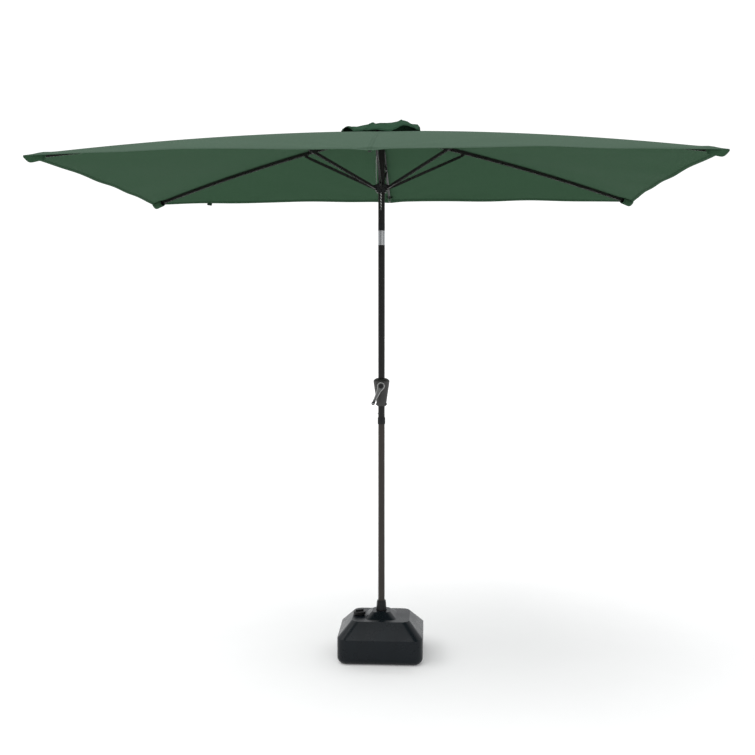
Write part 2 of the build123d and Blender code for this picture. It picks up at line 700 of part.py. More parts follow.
def make_rib(a, zf, rb, rt):
    top = lambda r: zf(r) - RIB_DROP
    rs, re = 60.0, rt - 34.0
    rm = 0.5 * (rs + re)
    zb = top(rb) - RIB_H / 2 - BRACKET_DROP
    pl = azimuth_plane(a)
    with BuildPart() as rib:
        with BuildSketch(pl):
            with BuildLine():
                ThreePointArc((rs, top(rs)), (rm, top(rm)), (re, top(re)))
                Line((re, top(re)), (re, top(re) - RIB_H))
                ThreePointArc((re, top(re) - RIB_H), (rm, top(rm) - RIB_H), (rs, top(rs) - RIB_H))
                Line((rs, top(rs) - RIB_H), (rs, top(rs)))
            make_face()
        extrude(amount=RIB_W / 2, both=True)
        with BuildSketch(pl):
            with BuildLine():
                r0, r1 = rs - 2.0, re + 2.0
                ThreePointArc((r0, top(r0) - RIB_T), (rm, top(rm) - RIB_T), (r1, top(r1) - RIB_T))
                Line((r1, top(r1) - RIB_T), (r1, top(r1) - RIB_H - 3))
                ThreePointArc((r1, top(r1) - RIB_H - 3), (rm, top(rm) - RIB_H - 3), (r0, top(r0) - RIB_H - 3))
                Line((r0, top(r0) - RIB_H - 3), (r0, top(r0) - RIB_T))
            make_face()
        extrude(amount=RIB_W / 2 - RIB_T, both=True, mode=Mode.SUBTRACT)
        # pivot tongue
        with BuildSketch(pl):
            with BuildLine():
                Polyline([(PIVOT_R, CROWN_Z + 5.5), (62.0, top(62.0) - 0.5), (120.0, top(120.0) - 0.5),
                          (120.0, top(120.0) - RIB_H + 1.5), (66.0, top(66.0) - RIB_H + 1.0),
                          (PIVOT_R, CROWN_Z - 5.5), (PIVOT_R, CROWN_Z + 5.5)])
            make_face()
            with Locations((PIVOT_R, CROWN_Z)):
                Circle(5.5)
        extrude(amount=3.0, both=True)
        # bracket ears
        with BuildSketch(pl):
            with BuildLine():
                Polyline([(rb - 15.0, top(rb - 15.0) - 0.6), (rb + 15.0, top(rb + 15.0) - 0.6),
                          (rb + 15.0, top(rb + 15.0) - RIB_H + 1.0), (rb + 6.0, zb), (rb - 6.0, zb),
                          (rb - 15.0, top(rb - 15.0) - RIB_H + 1.0), (rb - 15.0, top(rb - 15.0) - 0.6)])
            make_face()
            with Locations((rb, zb)):
                Circle(6.0)
        extrude(amount=5.0, both=True)
        with BuildSketch(pl):
            with Locations((rb, zb - 6.0)):
                Rectangle(40.0, 36.0)
        extrude(amount=3.25, both=True, mode=Mode.SUBTRACT)
        # strut pin
        with BuildSketch(pl):
            with Locations((rb, zb)):
                Circle(PIN_R)
        extrude(amount=5.6, both=True)
        # crown pin bore
        with BuildSketch(pl):
            with Locations((PIVOT_R, CROWN_Z)):
                Circle(1.81)
        extrude(amount=10.0, both=True, mode=Mode.SUBTRACT)
        # moulded tip plug, a solid of its own, that the corner pocket pulls on
        with BuildSketch(pl):
            with BuildLine():
                Polyline([(re + 0.05, top(re) - 1.0), (rt - 16.0, top(rt - 16.0) - 1.0),
                          (rt - 13.0, top(rt - 13.0) - 4.0), (rt - 13.0, top(rt - 13.0) - 9.0),
                          (rt - 16.0, top(rt - 16.0) - 12.5), (re + 0.05, top(re) - RIB_H + 0.5),
                          (re + 0.05, top(re) - 1.0)])
            make_face()
        extrude(amount=RIB_W / 2 + 0.6, both=True)
    return rib, zb


def make_strut(a, rb, zb):
    """Straight channel from the bracket to the runner, open below."""
    b = hypot(rb - PIVOT_R, zb - RUNNER_Z)
    psi = atan2(zb - RUNNER_Z, rb - PIVOT_R)
    c, s = cos(radians(a)), sin(radians(a))
    pl = Plane(origin=polar(rb, a, zb), x_dir=(-cos(psi) * c, -cos(psi) * s, -sin(psi)),
               z_dir=(s, -c, 0))
    with BuildPart() as strut:
        with BuildSketch(pl):
            with Locations(((20.0 + b - 38.0) / 2, 0)):
                Rectangle(b - 58.0, STRUT_H)
        extrude(amount=STRUT_W / 2, both=True)
        with BuildSketch(pl):
            with Locations((b / 2, STRUT_T)):
                Rectangle(b, STRUT_H)
        extrude(amount=STRUT_W / 2 - STRUT_T, both=True, mode=Mode.SUBTRACT)
        # eye at the bracket
        with BuildSketch(pl):
            with Locations((22.0, -0.2)):
                Rectangle(44.0, 12.0)
            Circle(6.0)
        extrude(amount=2.8, both=True)
        with BuildSketch(pl):
            Circle(PIN_R + 0.06)
        extrude(amount=10.0, both=True, mode=Mode.SUBTRACT)
        # hook end at the runner, with its cross pin
        with BuildSketch(pl):
            with Locations((b - 30.0, -0.2)):
                Rectangle(60.0, 12.0)
            with Locations((b, 0)):
                Circle(5.0)
        extrude(amount=2.8, both=True)
        with BuildSketch(pl):
            with Locations((b + 5.0, 6.5)):
                Rectangle(16.0, 6.0)
            with Locations((b + 5.0, -6.5)):
                Rectangle(16.0, 6.0)
        extrude(amount=2.9, both=True, mode=Mode.SUBTRACT)
        with BuildSketch(pl):
            with Locations((b, 0)):
                Circle(PIN_R)
        extrude(amount=8.8, both=True)
    return strut, b, psi


for (name, a, zf, rb, rt) in RIBS:
    rib, zb = make_rib(a, zf, rb, rt)
    save(rib, "rib_" + name)
    strut, b, psi = make_strut(a, rb, zb)
    save(strut, "strut_" + name)
    la = hypot(rb - PIVOT_R, CROWN_Z - zb)
    phi0 = atan2(CROWN_Z - zb, rb - PIVOT_R)
    alpha = acos((la * la + CLOSED_S ** 2 - b * b) / (2 * la * CLOSED_S))
    phi1 = pi / 2 - alpha
    psi1 = atan2(CLOSED_S - la * sin(phi1), la * cos(phi1))
    PIV[name] = (a, rb, zb, la, b, degrees(phi0), degrees(phi1), degrees(psi), degrees(psi1))

# ---------------------------------------------------------------------------
# Canopy: six gores, each from the middle of one panel over a rib to the middle
# of the next, and the vent cap. Thin closed solids of flat facets.
# ---------------------------------------------------------------------------
TIP = {
    "front_left": (-CAN_X, -CAN_Y), "front_mid": (0.0, -CAN_Y), "front_right": (CAN_X, -CAN_Y),
    "back_right": (CAN_X, CAN_Y), "back_mid": (0.0, CAN_Y), "back_left": (-CAN_X, CAN_Y),
}
ORDER = ["front_left", "front_mid", "front_right", "back_right", "back_mid", "back_left"]
ROWS = [VENT_U, 0.24, 0.38, 0.52, 0.66, 0.78, 0.90, 1.0]


def line_z(name, u):
    return z_mid(u * CAN_Y) if name.endswith("mid") else z_corner(u * R_CORNER)


def hem(na, nb, s):
    """How far the hem is cut in between two ribs, as a share of the panel."""
    return (0.028 if na.endswith("mid") or nb.endswith("mid") else 0.026) * 4 * s * (1 - s)


def panel_point(na, nb, s, u):
    v = VENT_U + (u - VENT_U) * (1 - hem(na, nb, s) - VENT_U) / (1 - VENT_U)
    x = v * ((1 - s) * TIP[na][0] + s * TIP[nb][0])
    y = v * ((1 - s) * TIP[na][1] + s * TIP[nb][1])
    z = (1 - s) * line_z(na, v) + s * line_z(nb, v)
    return (x, y, z)


def tri(p, q, r):
    return Face(Wire.make_polygon([Vector(*p), Vector(*q), Vector(*r)], close=True))


def thin_solid(grid, t):
    """Closed solid under a grid of points, t thick straight down."""
    low = [[(x, y, z - t) for (x, y, z) in row] for row in grid]
    n, m = len(grid), len(grid[0])
    faces = []

    def quad(p, q, r, s):
        faces.append(tri(p, q, r))
        faces.append(tri(p, r, s))

    for i in range(n - 1):
        for j in range(m - 1):
            quad(grid[i][j], grid[i + 1][j], grid[i + 1][j + 1], grid[i][j + 1])
            quad(low[i][j], low[i][j + 1], low[i + 1][j + 1], low[i + 1][j])
    for j in range(m - 1):
        quad(grid[0][j], grid[0][j + 1], low[0][j + 1], low[0][j])
        quad(grid[-1][j], low[-1][j], low[-1][j + 1], grid[-1][j + 1])
    for i in range(n - 1):
        quad(grid[i][0], low[i][0], low[i + 1][0], grid[i + 1][0])
        quad(grid[i][-1], grid[i + 1][-1], low[i + 1][-1], low[i][-1])
    solid = Solid(Shell(faces))
    return solid


for k, name in enumerate(ORDER):
    prv, nxt = ORDER[k - 1], ORDER[(k + 1) % 6]
    cols = [(prv, 0.4997), (prv, 0.25), (prv, 0.0), (nxt, 0.25), (nxt, 0.4997)]
    grid = [[panel_point(name, nb, s, u) for (nb, s) in cols] for u in ROWS]
    with BuildPart() as gore:
        add(thin_solid(grid, CAN_T))
    save(gore, "canopy_" + name)

# vent cap: a low pyramid over the vent hole, in four strips round its peak
ring = []
for (fx, fy) in [(-1, -1), (0, -1), (1, -1), (1, 0), (1, 1), (0, 1), (-1, 1), (-1, 0), (-1, -1)]:
    ring.append((fx, fy))
grid = []
for (u, z) in [(1.0, VENT_EDGE_Z), (0.55, VENT_EDGE_Z + 24.0), (0.02, VENT_PEAK_Z)]:
    grid.append([(VENT_X * u * fx, VENT_Y * u * fy, z) for (fx, fy) in ring])
top_faces, centre = [], (0.0, 0.0, VENT_PEAK_Z)
low = [[(x, y, z - CAN_T) for (x, y, z) in row] for row in grid]
for i in range(2):
    for j in range(8):
        for g, flip in ((grid, False), (low, True)):
            p, q, r, s = g[i][j], g[i][j + 1], g[i + 1][j + 1], g[i + 1][j]
            top_faces += [tri(p, q, r), tri(p, r, s)]
for j in range(8):
    top_faces.append(tri(grid[2][j], grid[2][j + 1], centre))
    top_faces.append(tri(low[2][j], low[2][j + 1], (0.0, 0.0, VENT_PEAK_Z - CAN_T)))
    p, q, r, s = grid[0][j], grid[0][j + 1], low[0][j + 1], low[0][j]
    top_faces += [tri(p, q, r), tri(p, r, s)]
with BuildPart() as vent_cap:
    add(Solid(Shell(top_faces)))
save(vent_cap, "vent_cap")

# short tie strap sewn under the back hem
with BuildPart() as tie_strap:
    with BuildSketch(Plane.XZ.offset(-974.0)):
        with BuildLine():
            Polyline([(-1150.0, 2512.6), (-1116.0, 2513.0), (-1118.0, 2486.0), (-1146.0, 2484.0), (-1150.0, 2512.6)])
        make_face()
    extrude(amount=2.0)
save(tie_strap, "tie_strap")

# ---------------------------------------------------------------------------
# Lifting cord: up inside the pole, over the pulley, down to the runner
# ---------------------------------------------------------------------------
CORD_R = 1.5


def cord_tube(name, pts, radii, r=CORD_R):
    with BuildPart() as tube:
        with BuildLine():
            if len(pts) > 2:
                ln = FilletPolyline(*pts, radius=radii)
            else:
                ln = Line(*pts)
        with BuildSketch(Plane(origin=ln @ 0, z_dir=ln % 0)):
            Circle(r)
        sweep()
    save(tube, name)
    print(name, "length", round(ln.length, 1), "radii", radii, "volume", round(tube.part.volume, 1),
          "section x length", round(pi * r * r * ln.length, 1))


cord_tube("lift_cord_lower", [(-13.0, 0.0, CRANK_Z + 1.0), (0.0, 12.0, 2190.0), (0.0, 12.0, 2236.0)], [1500.0])

with BuildPart() as lift_cord_upper:
    with BuildLine() as up_path:
        l1 = FilletPolyline((0.0, 12.0, 2256.0), (0.0, 12.0, 2345.0), (-7.0, -4.0, 2440.0), (-7.0, -4.0, PULLEY_Z),
                            radius=[180.0, 180.0])
        l2 = ThreePointArc((-7.0, -4.0, PULLEY_Z), (-17.0, -4.0, PULLEY_Z + 10.0), (-27.0, -4.0, PULLEY_Z))
        l3 = Line((-27.0, -4.0, PULLEY_Z), (-27.0, -4.0, 2738.0))
    with BuildSketch(Plane(origin=(0.0, 12.0, 2256.0), z_dir=(0, 0, 1))):
        Circle(1.3)
    sweep()
save(lift_cord_upper, "lift_cord_upper")
print("lift_cord_upper", round(up_path.wires()[0].length, 1), round(lift_cord_upper.part.volume, 1),
      round(pi * 1.69 * up_path.wires()[0].length, 1))

cord_tube("lift_cord_outer", [(-27.0, -4.0, 2737.8), (-27.0, -4.0, RUNNER_Z + 21.3)], [])
# the spare end, doubled and twisted, hanging from the runner in front of the pole
with BuildPart() as lift_cord_tail:
    with BuildSketch(Plane.XY.offset(RUNNER_Z - 22.6)):
        with Locations((-2.0, -26.2)):
            Ellipse(4.6, 2.9)
    with BuildSketch(Plane.XY.offset(RUNNER_Z - 80.0)):
        with Locations((-2.0, -26.2)):
            Ellipse(4.6, 2.9)
    with BuildSketch(Plane.XY.offset(RUNNER_Z - 118.0)):
        with Locations((-1.0, -26.2)):
            Ellipse(1.4, 1.2)
    loft(ruled=True)
save(lift_cord_tail, "lift_cord_tail")

travel = CLOSED_S - (CROWN_Z - RUNNER_Z)
print("runner travel", round(travel, 3))
for n, v in PIV.items():
    print("PIV", n, [round(x, 4) for x in v])
print("KNOB", round(KNOB_X, 3), round(KNOB_Z, 3))
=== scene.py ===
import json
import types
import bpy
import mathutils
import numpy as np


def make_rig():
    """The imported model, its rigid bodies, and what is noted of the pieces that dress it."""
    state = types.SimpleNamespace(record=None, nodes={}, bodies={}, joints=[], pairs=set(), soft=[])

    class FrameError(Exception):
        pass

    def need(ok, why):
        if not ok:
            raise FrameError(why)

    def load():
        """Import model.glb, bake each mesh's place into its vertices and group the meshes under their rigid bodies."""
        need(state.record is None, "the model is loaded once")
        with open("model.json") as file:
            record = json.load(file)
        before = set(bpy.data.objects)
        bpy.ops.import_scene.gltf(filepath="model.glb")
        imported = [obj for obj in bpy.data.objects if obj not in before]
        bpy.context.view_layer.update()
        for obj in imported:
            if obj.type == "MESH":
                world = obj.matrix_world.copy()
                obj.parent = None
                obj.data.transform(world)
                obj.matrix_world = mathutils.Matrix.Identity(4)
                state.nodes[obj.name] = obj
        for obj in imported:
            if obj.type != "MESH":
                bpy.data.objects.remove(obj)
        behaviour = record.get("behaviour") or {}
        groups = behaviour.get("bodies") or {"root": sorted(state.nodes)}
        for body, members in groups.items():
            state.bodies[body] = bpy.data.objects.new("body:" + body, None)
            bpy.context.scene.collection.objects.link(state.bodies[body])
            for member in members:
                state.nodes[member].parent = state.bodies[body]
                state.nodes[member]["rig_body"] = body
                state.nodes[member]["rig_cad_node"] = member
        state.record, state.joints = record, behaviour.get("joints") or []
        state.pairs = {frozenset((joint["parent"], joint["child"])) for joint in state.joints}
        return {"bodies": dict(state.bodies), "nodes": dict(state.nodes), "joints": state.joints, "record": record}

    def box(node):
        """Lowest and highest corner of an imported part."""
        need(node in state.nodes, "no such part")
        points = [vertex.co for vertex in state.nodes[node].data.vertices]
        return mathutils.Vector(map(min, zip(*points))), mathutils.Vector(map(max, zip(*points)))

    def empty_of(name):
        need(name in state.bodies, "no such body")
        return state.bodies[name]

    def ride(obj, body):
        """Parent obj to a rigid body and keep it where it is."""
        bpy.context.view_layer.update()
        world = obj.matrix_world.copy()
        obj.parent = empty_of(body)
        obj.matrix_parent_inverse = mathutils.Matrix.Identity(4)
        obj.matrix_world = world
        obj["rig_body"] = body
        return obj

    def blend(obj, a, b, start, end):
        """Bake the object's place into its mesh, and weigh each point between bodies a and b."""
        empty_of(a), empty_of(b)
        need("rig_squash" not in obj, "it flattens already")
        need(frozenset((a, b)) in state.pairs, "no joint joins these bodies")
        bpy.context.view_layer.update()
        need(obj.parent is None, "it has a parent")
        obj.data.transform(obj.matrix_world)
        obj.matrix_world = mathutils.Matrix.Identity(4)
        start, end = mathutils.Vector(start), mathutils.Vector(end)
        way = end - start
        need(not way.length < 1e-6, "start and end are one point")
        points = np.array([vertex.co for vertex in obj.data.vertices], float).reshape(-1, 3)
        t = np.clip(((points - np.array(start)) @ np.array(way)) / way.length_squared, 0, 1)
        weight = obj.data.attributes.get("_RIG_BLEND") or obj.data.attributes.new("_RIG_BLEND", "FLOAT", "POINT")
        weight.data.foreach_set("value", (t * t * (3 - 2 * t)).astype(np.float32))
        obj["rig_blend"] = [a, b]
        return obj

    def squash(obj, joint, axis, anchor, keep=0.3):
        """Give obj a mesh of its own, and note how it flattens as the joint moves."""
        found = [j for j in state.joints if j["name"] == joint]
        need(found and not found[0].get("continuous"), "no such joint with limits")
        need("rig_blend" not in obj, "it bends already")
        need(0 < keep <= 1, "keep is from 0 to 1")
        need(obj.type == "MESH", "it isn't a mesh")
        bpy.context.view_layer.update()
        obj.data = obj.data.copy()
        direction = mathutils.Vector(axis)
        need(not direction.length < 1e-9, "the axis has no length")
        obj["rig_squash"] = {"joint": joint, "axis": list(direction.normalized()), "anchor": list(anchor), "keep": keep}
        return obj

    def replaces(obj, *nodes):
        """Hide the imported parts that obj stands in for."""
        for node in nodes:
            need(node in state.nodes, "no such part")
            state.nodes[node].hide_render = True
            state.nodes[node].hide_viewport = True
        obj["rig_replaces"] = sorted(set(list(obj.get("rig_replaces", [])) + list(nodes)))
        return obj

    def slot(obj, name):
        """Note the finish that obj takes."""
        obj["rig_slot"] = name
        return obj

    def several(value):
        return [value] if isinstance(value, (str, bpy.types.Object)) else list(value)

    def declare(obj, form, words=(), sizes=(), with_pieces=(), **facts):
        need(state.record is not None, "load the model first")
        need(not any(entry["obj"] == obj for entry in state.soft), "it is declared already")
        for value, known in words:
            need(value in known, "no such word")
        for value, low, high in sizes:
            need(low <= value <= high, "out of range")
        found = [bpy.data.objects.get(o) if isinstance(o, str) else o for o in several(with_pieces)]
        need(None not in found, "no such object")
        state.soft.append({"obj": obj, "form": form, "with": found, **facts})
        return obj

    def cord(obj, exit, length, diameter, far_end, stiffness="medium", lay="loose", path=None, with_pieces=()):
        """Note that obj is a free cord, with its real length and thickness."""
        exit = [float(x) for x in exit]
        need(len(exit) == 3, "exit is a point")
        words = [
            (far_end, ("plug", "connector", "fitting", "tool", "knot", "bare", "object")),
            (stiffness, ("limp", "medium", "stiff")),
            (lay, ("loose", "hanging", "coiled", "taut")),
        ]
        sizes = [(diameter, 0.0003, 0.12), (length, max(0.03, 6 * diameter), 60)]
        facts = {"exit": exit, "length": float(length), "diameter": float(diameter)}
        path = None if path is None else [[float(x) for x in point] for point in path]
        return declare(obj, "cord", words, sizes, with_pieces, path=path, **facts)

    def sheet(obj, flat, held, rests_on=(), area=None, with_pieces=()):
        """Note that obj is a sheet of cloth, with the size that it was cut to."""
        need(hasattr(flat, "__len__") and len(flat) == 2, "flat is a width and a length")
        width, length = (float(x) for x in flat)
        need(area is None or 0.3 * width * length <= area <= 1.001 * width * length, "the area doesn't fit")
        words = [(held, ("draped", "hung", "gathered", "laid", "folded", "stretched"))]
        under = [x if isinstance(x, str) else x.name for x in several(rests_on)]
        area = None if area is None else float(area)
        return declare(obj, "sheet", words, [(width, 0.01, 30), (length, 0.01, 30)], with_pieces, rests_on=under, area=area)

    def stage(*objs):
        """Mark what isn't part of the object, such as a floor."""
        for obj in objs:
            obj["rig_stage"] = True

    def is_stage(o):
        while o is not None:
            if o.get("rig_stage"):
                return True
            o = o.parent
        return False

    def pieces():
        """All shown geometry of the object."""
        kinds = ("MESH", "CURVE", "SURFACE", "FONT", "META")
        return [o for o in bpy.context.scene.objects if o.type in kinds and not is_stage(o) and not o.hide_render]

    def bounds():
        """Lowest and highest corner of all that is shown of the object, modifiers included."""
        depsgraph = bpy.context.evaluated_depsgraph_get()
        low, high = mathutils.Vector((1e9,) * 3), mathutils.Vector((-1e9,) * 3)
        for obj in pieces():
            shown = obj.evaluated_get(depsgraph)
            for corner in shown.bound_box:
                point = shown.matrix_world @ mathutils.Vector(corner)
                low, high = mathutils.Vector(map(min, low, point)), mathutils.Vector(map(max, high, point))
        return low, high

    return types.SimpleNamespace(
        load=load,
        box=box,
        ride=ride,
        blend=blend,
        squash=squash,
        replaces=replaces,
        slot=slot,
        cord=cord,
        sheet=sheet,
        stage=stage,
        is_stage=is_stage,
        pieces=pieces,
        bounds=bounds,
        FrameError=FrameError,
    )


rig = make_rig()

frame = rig.load()

import json
from math import atan2, cos, degrees, exp, hypot, pi, radians, sin

import bpy
import numpy as np
from mathutils import Vector

CAD_BOX = [[float(c) for c in corner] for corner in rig.bounds()]
NODES = frame["nodes"]
# heights below are from a datum a little above the ground; the crown says by how much
LIFT = float(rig.box("crown")[0][2]) - 2.712

# ---------------------------------------------------------------------------
# Stage, light and camera
# ---------------------------------------------------------------------------
scene = bpy.context.scene
scene.view_settings.view_transform = "Standard"
scene.view_settings.look = "None"

cam_data = bpy.data.cameras.new("camera")
cam_data.lens = 990.24 / 755 * 36
cam_data.sensor_width = 36
cam_data.clip_end = 200
cam = bpy.data.objects.new("camera", cam_data)
cam.location = (0.2709, -5.2417, 1.8343 + LIFT)
cam.rotation_euler = (radians(90 - 3.85), 0, radians(3.19))
scene.collection.objects.link(cam)
scene.camera = cam


def build_world():
    w = bpy.data.worlds.new("studio")
    w.use_nodes = True
    nt = w.node_tree
    nt.nodes.clear()
    out = nt.nodes.new("ShaderNodeOutputWorld")
    seen = nt.nodes.new("ShaderNodeBackground")
    seen.inputs[0].default_value = (1, 1, 1, 1)
    seen.inputs[1].default_value = 1.10
    lit = nt.nodes.new("ShaderNodeBackground")
    # a bright ceiling over darker walls, so that rounded parts get a soft gradient
    tc = nt.nodes.new("ShaderNodeTexCoord")
    sep = nt.nodes.new("ShaderNodeSeparateXYZ")
    ramp = nt.nodes.new("ShaderNodeValToRGB")
    ramp.color_ramp.elements[0].position = 0.46
    ramp.color_ramp.elements[0].color = (0.62, 0.64, 0.66, 1)
    ramp.color_ramp.elements[1].position = 0.95
    ramp.color_ramp.elements[1].color = (1.0, 1.0, 1.0, 1)
    add = nt.nodes.new("ShaderNodeMath")
    add.operation = "MULTIPLY_ADD"
    add.inputs[1].default_value = 0.5
    add.inputs[2].default_value = 0.5
    nt.links.new(tc.outputs["Generated"], sep.inputs[0])
    nt.links.new(sep.outputs[2], add.inputs[0])
    nt.links.new(add.outputs[0], ramp.inputs[0])
    nt.links.new(ramp.outputs[0], lit.inputs[0])
    depth = nt.nodes.new("ShaderNodeMapRange")
    depth.interpolation_type = "SMOOTHSTEP"
    depth.inputs["From Min"].default_value = -0.55
    depth.inputs["From Max"].default_value = 0.60
    depth.inputs["To Min"].default_value = 0.45
    depth.inputs["To Max"].default_value = 1.15
    nt.links.new(sep.outputs[1], depth.inputs["Value"])
    nt.links.new(depth.outputs[0], lit.inputs[1])
    path = nt.nodes.new("ShaderNodeLightPath")
    mix = nt.nodes.new("ShaderNodeMixShader")
    nt.links.new(path.outputs["Is Camera Ray"], mix.inputs[0])
    nt.links.new(lit.outputs[0], mix.inputs[1])
    nt.links.new(seen.outputs[0], mix.inputs[2])
    nt.links.new(mix.outputs[0], out.inputs[0])
    scene.world = w


build_world()


def add_sun(name, energy, angle, direction):
    d = bpy.data.lights.new(name, "SUN")
    d.energy = energy
    d.angle = radians(angle)
    o = bpy.data.objects.new(name, d)
    o.rotation_euler = Vector(direction).to_track_quat("-Z", "Y").to_euler()
    scene.collection.objects.link(o)


add_sun("key", 2.3, 70, (0.35, 0.30, -1.0))
add_sun("front", 0.30, 60, (-0.55, 1.0, -0.55))

# ---------------------------------------------------------------------------
# Materials
# ---------------------------------------------------------------------------
def lin(r, g, b):
    """Colour from 0-255 display values."""
    f = lambda c: (c / 255 / 12.92) if c / 255 <= 0.04045 else ((c / 255 + 0.055) / 1.055) ** 2.4
    return (f(r), f(g), f(b), 1.0)


class Mat:
    """A Principled material and the few node chains the pieces share."""

    def __init__(self, name, color, rough=0.5, metal=0.0, **sockets):
        self.m = bpy.data.materials.new(name)
        self.m.use_nodes = True
        self.nt = self.m.node_tree
        self.b = self.nt.nodes["Principled BSDF"]
        self.b.inputs["Base Color"].default_value = color
        self.b.inputs["Roughness"].default_value = rough
        self.b.inputs["Metallic"].default_value = metal
        self.m.diffuse_color = color
        for k, v in sockets.items():
            self.b.inputs[k.replace("_", " ")].default_value = v
        self.color = color
        self.normal = None
        tc = self.nt.nodes.new("ShaderNodeTexCoord")
        self.obj = tc.outputs["Object"]

    def node(self, kind, **inputs):
        n = self.nt.nodes.new(kind)
        for k, v in inputs.items():
            n.inputs[k.replace("_", " ")].default_value = v
        return n

    def link(self, a, b):
        self.nt.links.new(a, b)

    def noise(self, scale, detail=3.0, rough=0.55, stretch=None):
        n = self.node("ShaderNodeTexNoise", Scale=scale, Detail=detail, Roughness=rough)
        if stretch:
            m = self.nt.nodes.new("ShaderNodeMapping")
            m.inputs["Scale"].default_value = stretch
            self.link(self.obj, m.inputs["Vector"])
            self.link(m.outputs[0], n.inputs["Vector"])
        else:
            self.link(self.obj, n.inputs["Vector"])
        return n.outputs["Fac"]

    def ramp(self, fac, a, b, lo=0.3, hi=0.7):
        r = self.nt.nodes.new("ShaderNodeMapRange")
        r.inputs["From Min"].default_value = lo
        r.inputs["From Max"].default_value = hi
        r.inputs["To Min"].default_value = a
        r.inputs["To Max"].default_value = b
        self.link(fac, r.inputs["Value"])
        return r.outputs[0]

    def tint(self, fac, dark, light, lo=0.3, hi=0.7):
        """Colour between dark and light shares of the base colour."""
        r = self.nt.nodes.new("ShaderNodeValToRGB")
        r.color_ramp.elements[0].position = lo
        r.color_ramp.elements[1].position = hi
        c = self.color
        r.color_ramp.elements[0].color = (c[0] * dark, c[1] * dark, c[2] * dark, 1)
        r.color_ramp.elements[1].color = (c[0] * light, c[1] * light, c[2] * light, 1)
        self.link(fac, r.inputs[0])
        return r.outputs[0]

    def mix(self, fac, a, b):
        m = self.nt.nodes.new("ShaderNodeMix")
        m.data_type = "RGBA"
        if hasattr(fac, "links"):
            self.link(fac, m.inputs[0])
        else:
            m.inputs[0].default_value = fac
        for sock, v in ((m.inputs[6], a), (m.inputs[7], b)):
            if hasattr(v, "links"):
                self.link(v, sock)
            else:
                sock.default_value = v
        return m.outputs[2]

    def math(self, op, a, b=0.0, clamp=False):
        m = self.nt.nodes.new("ShaderNodeMath")
        m.operation = op
        m.use_clamp = clamp
        for sock, v in ((m.inputs[0], a), (m.inputs[1], b)):
            if hasattr(v, "links"):
                self.link(v, sock)
            else:
                sock.default_value = v
        return m.outputs[0]

    def bump(self, height, distance, strength=1.0):
        n = self.node("ShaderNodeBump", Strength=strength, Distance=distance)
        self.link(height, n.inputs["Height"])
        if self.normal is not None:
            self.link(self.normal, n.inputs["Normal"])
        self.normal = n.outputs[0]
        self.link(self.normal, self.b.inputs["Normal"])

    def set(self, socket, out):
        self.link(out, self.b.inputs[socket])


def attr(mat, name):
    n = mat.nt.nodes.new("ShaderNodeAttribute")
    n.attribute_name = name
    return n.outputs["Fac"]


FABRIC = (0.0630, 0.1040, 0.0733, 1.0)
# painted shade: darker, deeper green for the canopy's shaded underside
FABRIC_UNDER_SHADE = (0.0310, 0.0695, 0.0382, 1.0)
# a deeper green than the panels; part of the darkening is painted shade for the shade among its creases
FABRIC_CAP = (0.0225, 0.0600, 0.0335, 1.0)
# painted shade: near black green for the cap's underside, seen in the gap under it
CAP_UNDER_SHADE = (0.0060, 0.0170, 0.0090, 1.0)


# back is the painted-shade colour of the underside; the last flag turns the painted shade of underside and seams on or
# off
def fabric(name, color=FABRIC, back=FABRIC_UNDER_SHADE, painted_shade=True):
    m = Mat(name, color, rough=0.78)
    m.b.inputs["Sheen Weight"].default_value = 0.02
    m.b.inputs["Sheen Roughness"].default_value = 0.42
    m.b.inputs["Sheen Tint"].default_value = (0.86, 1.0, 0.93, 1)
    m.b.inputs["Specular IOR Level"].default_value = 0.06
    m.b.inputs["IOR"].default_value = 1.12
    cloud = m.noise(2.2, 4.0)
    slub = m.noise(60, 2.0, stretch=(0.12, 6.0, 1.0))
    slub2 = m.noise(60, 2.0, stretch=(6.0, 0.12, 1.0))
    body = m.mix(m.ramp(cloud, 0.0, 1.0), m.tint(slub, 0.90, 1.05), m.tint(slub2, 0.97, 1.12))
    if painted_shade:
        # painted shade: the underside takes a darker, deeper green copy of the fabric, for the shade it lies in
        m.color = back
        lower = m.mix(m.ramp(cloud, 0.0, 1.0), m.tint(slub, 0.91, 1.05), m.tint(slub2, 0.97, 1.10))
        m.color = color
        body = m.mix(attr(m, "under"), body, lower)
        # painted shade: very dark lines where the seams and folds make grooves
        body = m.mix(attr(m, "seam_shade"), body, (back[0] * 0.40, back[1] * 0.42, back[2] * 0.45, 1))
    m.set("Base Color", body)
    m.set("Roughness", m.ramp(cloud, 0.70, 0.84))
    # plain weave: warp and weft threads crossing about every millimetre
    w1 = m.node("ShaderNodeTexWave", Scale=150.0, Distortion=0.4, Detail=1.0)
    w1.bands_direction = "X"
    w2 = m.node("ShaderNodeTexWave", Scale=150.0, Distortion=0.4, Detail=1.0)
    w2.bands_direction = "Y"
    for w in (w1, w2):
        m.link(m.obj, w.inputs["Vector"])
    weave = m.math("MULTIPLY", w1.outputs["Fac"], w2.outputs["Fac"])
    m.bump(weave, 0.00018, 0.35)
    m.bump(m.noise(14, 3.0), 0.0012, 0.25)
    return m.m


def moulded(name, color, rough=0.5, grain=700.0, depth=0.00010, spread=0.06, **sockets):
    """Moulded plastic with a fine eroded grain."""
    m = Mat(name, color, rough=rough, **sockets)
    cloud = m.noise(9.0, 3.0)
    m.set("Base Color", m.tint(cloud, 0.88, 1.14))
    m.set("Roughness", m.ramp(m.noise(23.0, 4.0), rough - spread, rough + spread))
    m.bump(m.noise(grain, 2.0, 0.6), depth, 0.6)
    m.bump(m.noise(26.0, 2.0), 0.0004, 0.15)
    return m.m


